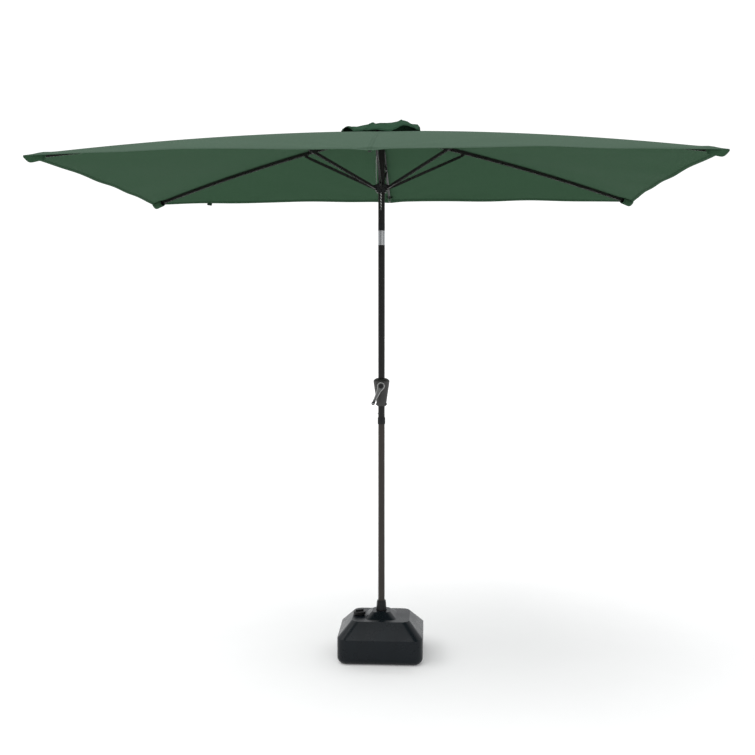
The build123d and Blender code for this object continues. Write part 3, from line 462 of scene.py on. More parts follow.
def painted(name, color, rough=0.36, metal=0.25, flake=0.0, peel=0.5, **sockets):
    """Powder coated steel: orange peel, with a sparse metallic fleck."""
    m = Mat(name, color, rough=rough, metal=metal, **sockets)
    cloud = m.noise(6.0, 3.0, stretch=(1, 1, 0.3))
    body = m.tint(cloud, 0.86, 1.16)
    if flake:
        v = m.node("ShaderNodeTexVoronoi", Scale=900.0)
        m.link(m.obj, v.inputs["Vector"])
        body = m.mix(m.ramp(v.outputs["Distance"], flake, 0.0, 0.05, 0.25), body,
                     (min(1, color[0] * 2.2), min(1, color[1] * 2.1), min(1, color[2] * 2.0), 1))
    m.set("Base Color", body)
    m.set("Roughness", m.ramp(m.noise(40.0, 3.0), rough - 0.05, rough + 0.07))
    m.bump(m.noise(520.0, 2.0, 0.5), 0.00006, peel)
    return m.m


def metal(name, color, rough=0.25, brush=(1, 1, 40), depth=0.00003):
    m = Mat(name, color, rough=rough, metal=1.0)
    streak = m.noise(160.0, 2.0, stretch=brush)
    m.set("Base Color", m.tint(streak, 0.90, 1.05))
    m.set("Roughness", m.ramp(streak, rough - 0.05, rough + 0.10))
    m.bump(streak, depth, 0.5)
    return m.m


def cordage(name, color, scale=180.0):
    m = Mat(name, color, rough=0.8)
    m.b.inputs["Sheen Weight"].default_value = 0.2
    w = m.node("ShaderNodeTexWave", Scale=scale, Distortion=1.0, Detail=1.0)
    w.bands_direction = "DIAGONAL"
    m.link(m.obj, w.inputs["Vector"])
    m.set("Base Color", m.tint(w.outputs["Fac"], 0.62, 1.1, 0.1, 0.9))
    m.bump(w.outputs["Fac"], 0.0003, 0.5)
    return m.m


def tank_material():
    """Blow-moulded polyethylene: dull, slightly waxy, with a faint orange peel."""
    c = (0.0040, 0.0066, 0.0092, 1)
    m = Mat("tank_plastic", c, rough=0.32)
    m.b.inputs["Specular IOR Level"].default_value = 0.20
    cloud = m.noise(5.5, 4.0)
    streak = m.noise(18.0, 3.0, stretch=(1.0, 1.0, 0.15))
    m.set("Base Color", m.mix(m.ramp(cloud, 0.0, 1.0), m.tint(streak, 0.84, 1.06), m.tint(streak, 1.0, 1.22)))
    m.set("Roughness", m.ramp(m.noise(12.0, 4.0), 0.24, 0.34))
    m.bump(m.noise(420.0, 2.0, 0.6), 0.00014, 0.5)
    m.bump(m.noise(15.0, 2.0), 0.0010, 0.18)
    return m.m


M = {
    "tank_plastic": tank_material(),
    "black_plastic": moulded("black_plastic", (0.0062, 0.0066, 0.0072, 1), rough=0.40, grain=900, depth=0.00006,
                             Specular_IOR_Level=0.26),
    "housing_plastic": moulded("housing_plastic", (0.0235, 0.0229, 0.0218, 1), rough=0.52, grain=420, depth=0.00030),
    "grey_plastic": moulded("grey_plastic", (0.22, 0.22, 0.22, 1), rough=0.45),
    "rubber": moulded("rubber", (0.014, 0.014, 0.014, 1), rough=0.72, grain=500, depth=0.0001),
    "bronze_pole": painted("bronze_pole", (0.031, 0.0252, 0.0218, 1), rough=0.36, metal=0.25, flake=0.4,
                           Specular_IOR_Level=0.35),
    "black_pole": painted("black_pole", (0.0084, 0.0078, 0.0072, 1), rough=0.33, metal=0.0, flake=0.10,
                          Specular_IOR_Level=0.24),
    "zinc_steel": metal("zinc_steel", (0.56, 0.57, 0.58, 1), rough=0.32),
    "brass": metal("brass", (0.62, 0.46, 0.20, 1), rough=0.28),
    "polished_steel": metal("polished_steel", (0.55, 0.555, 0.56, 1), rough=0.16, depth=0.00001),
    "crank_grey": painted("crank_grey", (0.115, 0.118, 0.116, 1), rough=0.40, metal=0.30, flake=0.15),
    "crank_rim": painted("crank_rim", (0.50, 0.505, 0.50, 1), rough=0.36, metal=0.30, flake=0.15),
    "frame_steel": painted("frame_steel", (0.0080, 0.0072, 0.0070, 1), rough=0.30, metal=0.0, peel=0.25,
                           Specular_IOR_Level=0.42),
    "canopy_fabric": fabric("canopy_fabric"),
    "cap_fabric": fabric("cap_fabric", FABRIC_CAP, CAP_UNDER_SHADE),
    "cord": cordage("cord", (0.50, 0.51, 0.49, 1)),
    "cord_dark": cordage("cord_dark", (0.012, 0.012, 0.012, 1)),
    "tape": fabric("tape", (0.020, 0.040, 0.026, 1), painted_shade=False),
}

SLOT_OF = {}
for mm in ("tank_plastic base_tank|black_plastic filler_cap clamp_nut joint_collar crank_hub_cap crank_knob tilt_fork "
           "tilt_knuckle tilt_button crown crown_cap runner pole_collet snap_spring").split("|"):
    parts = mm.split()
    for n in parts[1:]:
        SLOT_OF[n] = parts[0]

used_default = {}
for name, ob in NODES.items():
    if not ob.material_slots:
        ob.data.materials.append(None)
    for ms in ob.material_slots:
        key = (ms.material.name if ms.material else "").split(".")[0]
        if key not in M:
            used_default[name] = key
            key = SLOT_OF.get(name, "black_plastic")
        ms.material = M[key]
if used_default:
    print("slots not known:", used_default)

# ---------------------------------------------------------------------------
# Mesh helpers
# ---------------------------------------------------------------------------
def link(ob, mat, smooth=True):
    scene.collection.objects.link(ob)
    if mat is not None:
        ob.data.materials.append(mat)
    if ob.type == "MESH" and smooth:
        ob.data.polygons.foreach_set("use_smooth", [True] * len(ob.data.polygons))
    return ob


def mesh(name, verts, faces, mat, smooth=True, floats=None, walls=()):
    me = bpy.data.meshes.new(name)
    me.from_pydata([tuple(float(c) for c in v) for v in verts], [], faces)
    for key, vals in (floats or {}).items():
        a = me.attributes.new(key, "FLOAT", "POINT")
        a.data.foreach_set("value", np.asarray(vals, np.float32))
    me.validate()
    me.update()
    ob = link(bpy.data.objects.new(name, me), mat, smooth)
    if walls:
        # the cut edge's narrow faces don't bend the shading of the sheet beside them
        cut = {frozenset(w) for w in walls}
        sharp = {frozenset((w[k], w[(k + 1) % 4])) for w in walls for k in range(4)}
        for poly in me.polygons:
            if frozenset(poly.vertices) in cut:
                poly.use_smooth = False
        for e in me.edges:
            if frozenset(e.vertices) in sharp:
                e.use_edge_sharp = True
    return ob


def nurbs(name, points, bevel=None):
    c = bpy.data.curves.new(name, "CURVE")
    c.dimensions = "3D"
    c.resolution_u = 12
    s = c.splines.new("NURBS")
    s.points.add(len(points) - 1)
    for p, q in zip(s.points, points):
        p.co = (q[0], q[1], q[2], 1.0)
    s.order_u = 3
    s.use_endpoint_u = True
    if bevel:
        c.bevel_depth = bevel
        c.bevel_resolution = 3
        c.use_fill_caps = True
    return bpy.data.objects.new(name, c)


def curve_points(points, res=16):
    """Points read from a smooth NURBS line through the route."""
    ob = nurbs("line", points)
    ob.data.resolution_u = res
    scene.collection.objects.link(ob)
    bpy.context.view_layer.update()
    me = bpy.data.meshes.new_from_object(ob)
    pts = np.array([v.co[:] for v in me.vertices], float)
    bpy.data.meshes.remove(me)
    cu = ob.data
    bpy.data.objects.remove(ob)
    bpy.data.curves.remove(cu)
    return pts


def resample(pts, step):
    seg = np.linalg.norm(np.diff(pts, axis=0), axis=1)
    t = np.concatenate([[0], np.cumsum(seg)])
    n = max(2, int(round(t[-1] / step)) + 1)
    q = np.linspace(0, t[-1], n)
    return np.stack([np.interp(q, t, pts[:, k]) for k in range(3)], 1), q


def tube(pts, radius, sides=10):
    """Verts and faces of a capped tube along pts; radius may vary."""
    r = np.broadcast_to(np.asarray(radius, float), (len(pts),))
    tan = np.gradient(pts, axis=0)
    tan /= np.linalg.norm(tan, axis=1)[:, None]
    up = np.array([1.0, 0, 0]) if abs(tan[0][0]) < 0.8 else np.array([0, 1.0, 0])
    n = np.cross(tan[0], up)
    n /= np.linalg.norm(n)
    verts, faces = [], []
    for i, (p, t) in enumerate(zip(pts, tan)):
        n = n - t * np.dot(n, t)
        n /= np.linalg.norm(n)
        b = np.cross(t, n)
        for k in range(sides):
            a = 2 * pi * k / sides
            verts.append(p + r[i] * (cos(a) * n + sin(a) * b))
    for i in range(len(pts) - 1):
        for k in range(sides):
            a, b2 = i * sides + k, i * sides + (k + 1) % sides
            faces.append((a, b2, b2 + sides, a + sides))
    faces.append(tuple(range(sides - 1, -1, -1)))
    faces.append(tuple((len(pts) - 1) * sides + k for k in range(sides)))
    return verts, faces


def both(parts):
    verts, faces = [], []
    for v, f in parts:
        base = len(verts)
        verts += list(v)
        faces += [tuple(base + i for i in q) for q in f]
    return verts, faces


# ---------------------------------------------------------------------------
# Lifting cord: three taut runs and the twisted spare end
# ---------------------------------------------------------------------------
LOWER = [(-0.013, 0.0, 1.440), (0.0, 0.012, 2.190), (0.0, 0.012, 2.236)]
UPPER = [(0.0, 0.012, 2.256), (0.0, 0.012, 2.345), (-0.007, -0.004, 2.440), (-0.007, -0.004, 2.770),
         (-0.007, -0.004, 2.7838), (-0.017, -0.004, 2.7838), (-0.027, -0.004, 2.7838), (-0.027, -0.004, 2.770),
         (-0.027, -0.004, 2.738)]
OUTER = [(-0.027, -0.004, 2.7378), (-0.027, -0.004, 2.620), (-0.027, -0.004, 2.496)]
TAIL = [(-0.002, -0.0262, 2.4521), (-0.0022, -0.0264, 2.420), (-0.0016, -0.0262, 2.388), (-0.001, -0.0262, 2.3567)]

LOWER, UPPER, OUTER, TAIL = ([(x, y, z + LIFT) for (x, y, z) in route] for route in (LOWER, UPPER, OUTER, TAIL))

lower = link(nurbs("lift_cord_in_pole", LOWER, 0.0015), M["cord"])
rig.ride(lower, "pole")
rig.replaces(lower, "lift_cord_lower")
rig.slot(lower, "cord")
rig.cord(lower, exit=LOWER[0], length=0.796, diameter=0.003, far_end="object", stiffness="limp", lay="taut")

upper = link(nurbs("lift_cord_in_mast", UPPER, 0.0013), M["cord"])
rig.ride(upper, "head")
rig.replaces(upper, "lift_cord_upper")
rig.slot(upper, "cord")
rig.cord(upper, exit=UPPER[0], length=0.587, diameter=0.0026, far_end="object", stiffness="limp", lay="taut")

outer_path = curve_points(OUTER, 24)
pts, t = resample(outer_path, 0.0012)
v, f = tube(pts, 0.00135 + 0.00015 * np.cos(2 * pi * t / 0.0036), 12)
outer = mesh("lift_cord_outer_run", v, f, M["cord"])
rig.replaces(outer, "lift_cord_outer")
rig.slot(outer, "cord")
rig.cord(outer, exit=OUTER[0], length=0.2418, diameter=0.003, far_end="object", stiffness="limp", lay="taut",
        path=[tuple(p) for p in outer_path])
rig.blend(outer, "head", "runner", start=OUTER[0], end=OUTER[-1])

tail_path = curve_points(TAIL, 16)
pts, t = resample(tail_path, 0.0009)
strands = []
L = t[-1]
for k in range(2):
    a = 2 * pi * t / 0.015 + k * pi
    grip = np.clip((L - t) / 0.020, 0.12, 1.0) * np.clip(0.55 + t / 0.010, 0.0, 1.0)
    helix = pts + np.stack([np.cos(a) * 0.00225 * grip, np.sin(a) * 0.00225 * grip, 0 * a], 1)
    rad = 0.00225 * np.clip((L - t) / 0.024, 0.42, 1.0)
    braid = 1 + 0.07 * np.cos(2 * pi * t / 0.0030 + k)
    strands.append(tube(helix, rad * braid, 12))
v, f = both(strands)
tail = mesh("lift_cord_spare_end", v, f, M["cord"])
tail.data.materials.append(M["cord_dark"])
for poly in tail.data.polygons:
    poly.material_index = 0 if poly.index < len(strands[0][1]) else 1
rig.ride(tail, "runner")
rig.replaces(tail, "lift_cord_tail")
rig.slot(tail, "cord")
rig.cord(tail, exit=TAIL[0], length=0.0954, diameter=0.009, far_end="bare", stiffness="limp", lay="hanging",
        path=[tuple(p) for p in tail_path])

# ---------------------------------------------------------------------------
# Crank: a paler bead along the arm's edge
# ---------------------------------------------------------------------------
def crank_rim():
    (a, b), (c, d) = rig.box("crank_hub_cap"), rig.box("crank_knob")
    hx, hz = (a[0] + b[0]) / 2, (a[2] + b[2]) / 2
    kx, kz = (c[0] + d[0]) / 2, (c[2] + d[2]) / 2
    ang, span = atan2(kz - hz, kx - hx), hypot(kx - hx, kz - hz)

    def at(along, off):
        return (hx + along * cos(ang) - off * sin(ang), -0.0524, hz + along * sin(ang) + off * cos(ang))
    route = [at(span - 0.0115, 0.0060), at(0.045, 0.0078), at(0.030, 0.0093)]
    for k in range(13):
        t = radians(52 + k * (360 - 104) / 12)
        route.append((hx + 0.0186 * cos(ang + t), -0.0526, hz + 0.0186 * sin(ang + t)))
    route += [at(0.030, -0.0093), at(0.045, -0.0078), at(span - 0.0115, -0.0060)]
    line, t = resample(curve_points(route, 12), 0.0012)
    v, f = tube(line, 0.00135 * np.clip(np.minimum(t, t[-1] - t) / 0.004, 0.35, 1.0), 10)
    ob = mesh("crank_arm_bead", v, f, M["crank_rim"])
    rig.ride(ob, "crank")
    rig.slot(ob, "crank_grey")


crank_rim()

# ---------------------------------------------------------------------------
# Canopy
# ---------------------------------------------------------------------------
CAN_X, CAN_Y, VENT_U = 1.5, 1.0, 0.10
R_CORNER = hypot(CAN_X, CAN_Y)
TIP = {
    "front_left": (-CAN_X, -CAN_Y), "front_mid": (0.0, -CAN_Y), "front_right": (CAN_X, -CAN_Y),
    "back_right": (CAN_X, CAN_Y), "back_mid": (0.0, CAN_Y), "back_left": (-CAN_X, CAN_Y),
}
ORDER = ["front_left", "front_mid", "front_right", "back_right", "back_mid", "back_left"]


def rib_line(name, u):
    if name.endswith("mid"):
        r = u * CAN_Y
        return LIFT + 2.771 - 0.180 * r - 0.071 * r * r
    r = u * R_CORNER
    return LIFT + 2.771 - 0.0945 * r - 0.0295 * r * r


def hem_cut(na, nb, s):
    return (0.028 if na.endswith("mid") or nb.endswith("mid") else 0.026) * 4 * s * (1 - s)


def smooth(a, b, x):
    t = np.clip((x - a) / (b - a), 0, 1)
    return t * t * (3 - 2 * t)


def cloth_point(na, nb, s, u):
    """Point of the stretched fabric between ribs na and nb, with its slack and creases."""
    v = VENT_U + (u - VENT_U) * (1 - hem_cut(na, nb, s) - VENT_U) / (1 - VENT_U)
    x = v * ((1 - s) * TIP[na][0] + s * TIP[nb][0])
    y = v * ((1 - s) * TIP[na][1] + s * TIP[nb][1])
    z = (1 - s) * rib_line(na, v) + s * rib_line(nb, v)
    free = np.sin(pi * np.clip(s, 0, 1))            # 0 on the ribs, 1 midway
    end = not (na.endswith("mid") or nb.endswith("mid"))
    # slack: the end panels sag, the long front is drawn tight and a little full
    full = -0.010 if end else (-0.004 if TIP[na][1] > 0 else (0.0080 if min(TIP[na][0], TIP[nb][0]) < 0 else 0.0030))
    z = z + full * free ** 1.5 * u
    # slow unevenness of the cut
    z = z + free * (0.0016 * np.sin(6.3 * x + 2.9 * y + 0.6) * np.sin(4.1 * y - 2.3 * x + 1.1)
                    + 0.0008 * np.sin(15.0 * x - 7.0 * y + 2.0) + 0.0006 * np.sin(13.0 * y + 9.0 * x))
    # creases that run out from the corner pockets along the pull
    for k, c in enumerate((na, nb)):
        dx, dy = x - TIP[c][0], y - TIP[c][1]
        rho = np.hypot(dx, dy)
        th = np.arctan2(dy, dx)
        amp = 0.0040 * np.exp(-rho / 0.42) * rho / (rho + 0.10)
        z = z + amp * free ** 0.7 * np.sin(13.0 * th + 1.3 * ORDER.index(c)) * smooth(0.0, 0.05, s) * smooth(0.0, 0.05, 1 - s)
    # gentle flutter of the hem between its ends
    edge = smooth(0.86, 1.0, u)
    z = z + edge * free * 0.0022 * np.sin(11.0 * (x * 0.8 + y * 1.1) + 0.9)
    return x, y, z


def half_gore(name, nb):
    a, b = TIP[name], TIP[nb]
    width = hypot(a[0] - b[0], a[1] - b[1])
    depth = 1.0 if (name.endswith("mid") or nb.endswith("mid")) else 1.5
    hem_w = 0.016 / depth
    lo, hi = VENT_U, 1.0
    us = [lo, lo + 0.0015 / depth, lo + 0.010 / depth, lo + 0.0112 / depth]
    us += list(np.linspace(lo + 0.022 / depth, hi - 0.034 / depth, 60))
    us += [hi - 0.024 / depth, hi - hem_w - 0.0012 / depth, hi - hem_w, hi - 0.0085 / depth, hi - 0.0012 / depth, hi]
    us = np.array(us)
    near = np.array([0.0, 0.0035, 0.0078, 0.0090, 0.0125, 0.019])
    N = 34
    S = np.zeros((len(us), len(near) + N))
    for i, u in enumerate(us):
        s0 = near / (width * u)
        S[i, :len(near)] = s0
        k = np.arange(1, N + 1) / N
        S[i, len(near):] = s0[-1] + (0.5 - s0[-1]) * k
    U = np.repeat(us[:, None], S.shape[1], 1)
    X, Y, Z = cloth_point(name, nb, S, U)
    cols = S.shape[1]
    dist = S * width * U                            # metres from the rib seam
    out = (1.0 - U) * depth                         # metres from the hem
    inn = (U - lo) * depth                          # metres from the vent edge
    lap = (dist <= 0.0079)                          # flat felled seam over the rib
    fold = (out <= 0.0161)
    fold_in = (inn <= 0.0101)
    Z = Z + np.where(lap, 0.0006, 0.0)
    thick = np.full(Z.shape, 0.0009)
    thick = np.where(lap, 0.0026, thick)
    thick = np.where(fold, np.maximum(thick, 0.0027), thick)
    thick = np.where(fold_in, np.maximum(thick, 0.0024), thick)
    # the doubled hem of the long sides hangs a little, most where the short ribs end behind it
    if depth == 1.0:
        near_mid = np.exp(-(X / 0.050) ** 2)
        hang = (0.0005 if a[1] + b[1] < 0 else 0.0055) * np.cos(pi * np.clip(np.abs(X) / CAN_X, 0, 1) / 2) + 0.0060 * near_mid
        Z = Z - hang * smooth(0.0, 1.0, 1 - np.clip(out / 0.024, 0, 1))
    # the pull of the pocket lifts a small arch at the tip
    tip_r = np.hypot(X - a[0] * 0.955, Y - a[1] * 0.955)
    Z = Z + 0.0045 * np.exp(-(tip_r / 0.030) ** 2)
    top = np.stack([X, Y, Z], -1).reshape(-1, 3)
    bot = np.stack([X, Y, Z - thick], -1).reshape(-1, 3)
    # painted shade along the lap's edge, its stitching, the hem fold and its stitching, and the vent fold
    seam_shade = np.zeros(Z.shape)
    seam_shade = np.where(np.abs(dist - 0.0078) < 0.0013, 0.12, seam_shade)
    seam_shade = np.where((np.abs(dist - 0.0035) < 0.0002), 0.10, seam_shade)
    seam_shade = np.where(np.abs(out - 0.0166) < 0.0010, 0.35, seam_shade)
    seam_shade = np.where(np.abs(out - 0.0085) < 0.0008, 0.10, seam_shade)
    seam_shade = np.where(np.abs(inn - 0.0106) < 0.0010, 0.35, seam_shade)
    seam_shade = seam_shade.reshape(-1)
    nv = len(top)
    rows = len(us)
    idx = lambda i, j: i * cols + j
    faces = []
    for i in range(rows - 1):
        for j in range(cols - 1):
            q = (idx(i, j), idx(i + 1, j), idx(i + 1, j + 1), idx(i, j + 1))
            faces.append(q)
            faces.append(tuple(nv + k for k in reversed(q)))
    rim = [idx(0, j) for j in range(cols)] + [idx(i, cols - 1) for i in range(1, rows)] \
        + [idx(rows - 1, j) for j in range(cols - 2, -1, -1)] + [idx(i, 0) for i in range(rows - 2, 0, -1)]
    walls = [(p, q, nv + q, nv + p) for p, q in zip(rim, rim[1:] + rim[:1])]
    faces += walls
    # keep every face turned outward, whichever way round the panel runs
    flip = (a[0] * b[1] - a[1] * b[0]) < 0
    if flip:
        faces = [tuple(reversed(q)) for q in faces]
    # the bottom faces are marked 'under' and take the painted-shade underside colour
    ob = mesh(f"canopy_{name}_to_{nb}", np.concatenate([top, bot]), faces, M["canopy_fabric"],
              floats={"seam_shade": np.concatenate([seam_shade, seam_shade]),
                      "under": np.concatenate([np.zeros(nv), np.ones(nv)])}, walls=walls)
    # flat area of the cut
    P = top.reshape(rows, cols, 3)
    d1 = P[1:, 1:] - P[:-1, :-1]
    d2 = P[1:, :-1] - P[:-1, 1:]
    area = float(np.linalg.norm(np.cross(d1, d2), axis=-1).sum() / 2)
    return ob, P, area


KEEP = {"end": 0.11, "corner": 0.17, "mid": 0.145}
gores = {}
for k, name in enumerate(ORDER):
    for nb in (ORDER[k - 1], ORDER[(k + 1) % 6]):
        ob, P, area = half_gore(name, nb)
        kind = "end" if not (name.endswith("mid") or nb.endswith("mid")) else ("mid" if name.endswith("mid") else "corner")
        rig.ride(ob, "rib_" + name)
        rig.replaces(ob, "canopy_" + name)
        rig.slot(ob, "canopy_fabric")
        a, b = TIP[name], TIP[nb]
        w, d = hypot(a[0] - b[0], a[1] - b[1]) / 2, (1.0 if kind != "end" else 1.5)
        flat = (round(w, 4), round(hypot(*a) * 0.9, 4))
        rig.sheet(ob, flat=flat, held="stretched", rests_on=["rib_" + name], area=round(area, 5))
        mid = len(P) // 2
        t = Vector(P[-1, 0] - P[0, 0]).normalized()
        c = Vector(P[mid, -1] - P[mid, 0])
        n = (c - t * c.dot(t)).normalized()
        # along the fabric, square to the rib, so that the flap folds back on the rib
        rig.squash(ob, "runner_slide", axis=tuple(n), anchor=tuple(float(q) for q in P[mid, 0]), keep=KEEP[kind])
        gores[(name, nb)] = ob


def cloth_z(x, y):
    """Height of the fabric at a point, from the two ribs beside it."""
    for k, na in enumerate(ORDER):
        nb = ORDER[(k + 1) % 6]
        (ax, ay), (bx, by) = TIP[na], TIP[nb]
        det = ax * by - ay * bx
        al, be = (x * by - y * bx) / det, (ax * y - ay * x) / det
        if al >= -1e-6 and be >= -1e-6:
            v = al + be
            s = be / max(v, 1e-9)
            return (1 - s) * rib_line(na, v) + s * rib_line(nb, v)
    return rib_line("front_mid", hypot(x, y))


# corner pockets: a doubled cup of fabric sewn under each corner, that the rib's tip sits in
def pocket(name):
    a = TIP[name]
    rt = hypot(*a)
    ux, uy = a[0] / rt, a[1] / rt
    tx, ty = -uy, ux
    mid = name.endswith("mid")
    half = 0.019 if mid else 0.021
    stations = [(0.0920, 1.00, 0.0270), (0.0905, 1.03, 0.0285), (0.0850, 1.02, 0.0290), (0.0700, 0.98, 0.0300),
                (0.0550, 0.90, 0.0315), (0.0420, 0.82, 0.0330), (0.0300, 0.72, 0.0335), (0.0200, 0.62, 0.0280),
                (0.0110, 0.52, 0.0180), (0.0045, 0.42, 0.0095), (0.0008, 0.30, 0.0045)]
    if mid:
        # the short ribs end inside the hem, in a flatter pocket
        stations = [(0.007 + d * 0.62, w, h * 0.47) for d, w, h in stations]
    prof = [(-1.0, 0.0), (-0.97, 0.22), (-0.86, 0.50), (-0.68, 0.78), (-0.38, 0.96), (0.0, 1.0),
            (0.38, 0.96), (0.68, 0.78), (0.86, 0.50), (0.97, 0.22), (1.0, 0.0)]
    P = []
    for (d, w, h) in stations:
        r = rt - d
        row = []
        for (px, pz) in prof:
            off = px * half * w
            x, y = r * ux + off * tx, r * uy + off * ty
            z0 = cloth_z(x, y) - 0.0016
            row.append((x, y, z0 - pz * h))
        P.append(row)
    P = np.array(P)
    rows, cols = P.shape[:2]
    verts = P.reshape(-1, 3)
    faces = [(i * cols + j, i * cols + j + 1, (i + 1) * cols + j + 1, (i + 1) * cols + j)
             for i in range(rows - 1) for j in range(cols - 1)]
    # painted shade: a dark line at the pocket's sewn mouth
    seam_shade = np.zeros((rows, cols))
    seam_shade[2] = 0.7
    # the whole pocket takes the painted-shade underside colour
    ob = mesh(f"pocket_{name}", verts, faces, M["canopy_fabric"],
              floats={"seam_shade": seam_shade.reshape(-1), "under": np.ones(rows * cols)})
    so = ob.modifiers.new("cloth", "SOLIDIFY")
    so.thickness = 0.0014
    so.offset = 0.0
    sub = ob.modifiers.new("round", "SUBSURF")
    sub.levels = sub.render_levels = 2
    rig.ride(ob, "rib_" + name)
    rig.slot(ob, "canopy_fabric")
    area = 0.0
    for i in range(rows - 1):
        for j in range(cols - 1):
            area += float(np.linalg.norm(np.cross(P[i + 1, j + 1] - P[i, j], P[i + 1, j] - P[i, j + 1])) / 2)
    w, l = (0.058, 0.060) if mid else (0.10, 0.092)
    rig.sheet(ob, flat=(w, l), held="folded", rests_on=["rib_" + name], area=round(min(area, w * l), 5))
    return ob


for name in ORDER:
    pocket(name)

# ---------------------------------------------------------------------------
# Vent cap: slack fabric over the vent hole, tented by the crown and creased
# ---------------------------------------------------------------------------
VX, VY = 0.207, 0.146


def seg_dist(x, y, p, q):
    px, py = q[0] - p[0], q[1] - p[1]
    t = np.clip(((x - p[0]) * px + (y - p[1]) * py) / (px * px + py * py), 0, 1)
    return np.hypot(x - p[0] - t * px, y - p[1] - t * py), t


def cap_surface(A, B):
    """Cap height over its cut, A along X and B along Y, both from -1 to 1."""
    x = VX * A * (1 - 0.04 * B * B)
    y = VY * B * (1 - 0.05 * A * A)
    ridge_x = np.array([-0.215, -0.19, -0.12, -0.065, -0.044, -0.030, -0.019, -0.006, 0.03, 0.058, 0.085, 0.103, 0.120, 0.150, 0.19, 0.215])
    ridge_z = np.array([2.7930, 2.7945, 2.8000, 2.8075, 2.8150, 2.8115, 2.8090, 2.8140, 2.8145, 2.8150, 2.8205, 2.8235, 2.8190, 2.8090, 2.8035, 2.8005])
    # height that the hem lies at above the canopy, front and back
    front_x = np.array([-0.215, -0.190, -0.181, -0.168, -0.152, -0.138, -0.09, -0.075, -0.045, -0.015, 0.005, 0.03, 0.060, 0.078, 0.10, 0.118, 0.14, 0.165, 0.185, 0.215])
    lift_f = np.array([0.002, 0.002, 0.020, 0.023, 0.016, 0.003, 0.002, 0.003, 0.008, 0.010, 0.006, 0.002, 0.002, 0.006, 0.022, 0.029, 0.027, 0.014, 0.003, 0.003])
    lift_x = np.array([-0.215, -0.195, -0.175, -0.155, -0.125, -0.09, -0.075, -0.045, -0.015, 0.005, 0.03, 0.060, 0.078, 0.10, 0.118, 0.14, 0.165, 0.185, 0.215])
    lift_b = np.array([0.012, 0.004, 0.010, 0.013, 0.010, 0.003, 0.002, 0.004, 0.012, 0.016, 0.012, 0.004, 0.002, 0.004, 0.012, 0.014, 0.006, 0.002, 0.012])
    zr = np.interp(x, ridge_x, ridge_z) + LIFT
    lf = np.interp(x, front_x, lift_f)
    lb = np.interp(x, lift_x, lift_b)
    base = np.vectorize(cloth_z)(x, y) + 0.0028
    edge = base + np.where(B < 0, lf, lb)
    q = 1 - np.abs(B)
    g = q ** 0.86 * (0.72 + 0.28 * q)
    z = edge + (zr - edge) * g
    # the two ends: the fabric drops to short hems over the end panels
    endq = smooth(0.0, 0.16, 1 - np.abs(A))
    zend = base + np.where(A > 0, 0.034, 0.027) * (1 - 0.35 * B * B)
    z = np.minimum(z, zend + (z - zend) * endq + 0.02 * endq)
    # creases
    for p, qq, amp, wd in (((0.103, 0.0), (0.074, -0.146), 0.0085, 0.011), ((0.103, 0.0), (0.176, -0.140), 0.0085, 0.012),
                           ((-0.044, 0.0), (-0.080, -0.146), 0.0090, 0.011), ((-0.036, 0.0), (0.02, -0.120), -0.0030, 0.014),
                           ((-0.12, 0.02), (-0.180, -0.120), -0.0045, 0.014), ((0.02, -0.02), (0.045, -0.146), -0.0040, 0.012),
                           ((0.08, 0.03), (0.03, 0.146), 0.0055, 0.012), ((0.10, 0.02), (0.16, 0.140), 0.0050, 0.012),
                           ((-0.05, 0.02), (-0.10, 0.146), 0.0055, 0.012), ((-0.02, 0.03), (0.0, 0.146), -0.0040, 0.014)):
        d, t = seg_dist(x, y, p, qq)
        z = z + amp * np.exp(-(d / wd) ** 2) * (0.35 + 0.65 * np.sin(pi * np.clip(t, 0.05, 0.95)))
    z = z + 0.0010 * np.sin(70 * x + 31 * y) * np.sin(52 * y - 23 * x) * endq
    z = np.maximum(z, base + 0.0004)
    # short skirts turn down at both ends
    down = smooth(0.972, 0.992, np.abs(A))
    z = z - down * np.maximum(z - base - 0.0035, 0.0) * (1 - 0.25 * np.abs(B))
    # clear of the crown's cap
    rc = np.hypot(x, y)
    z = np.where(rc < 0.040, np.maximum(z, LIFT + 2.8105 - 0.0045 * smooth(0.018, 0.040, rc)), z)
    return x, y, z


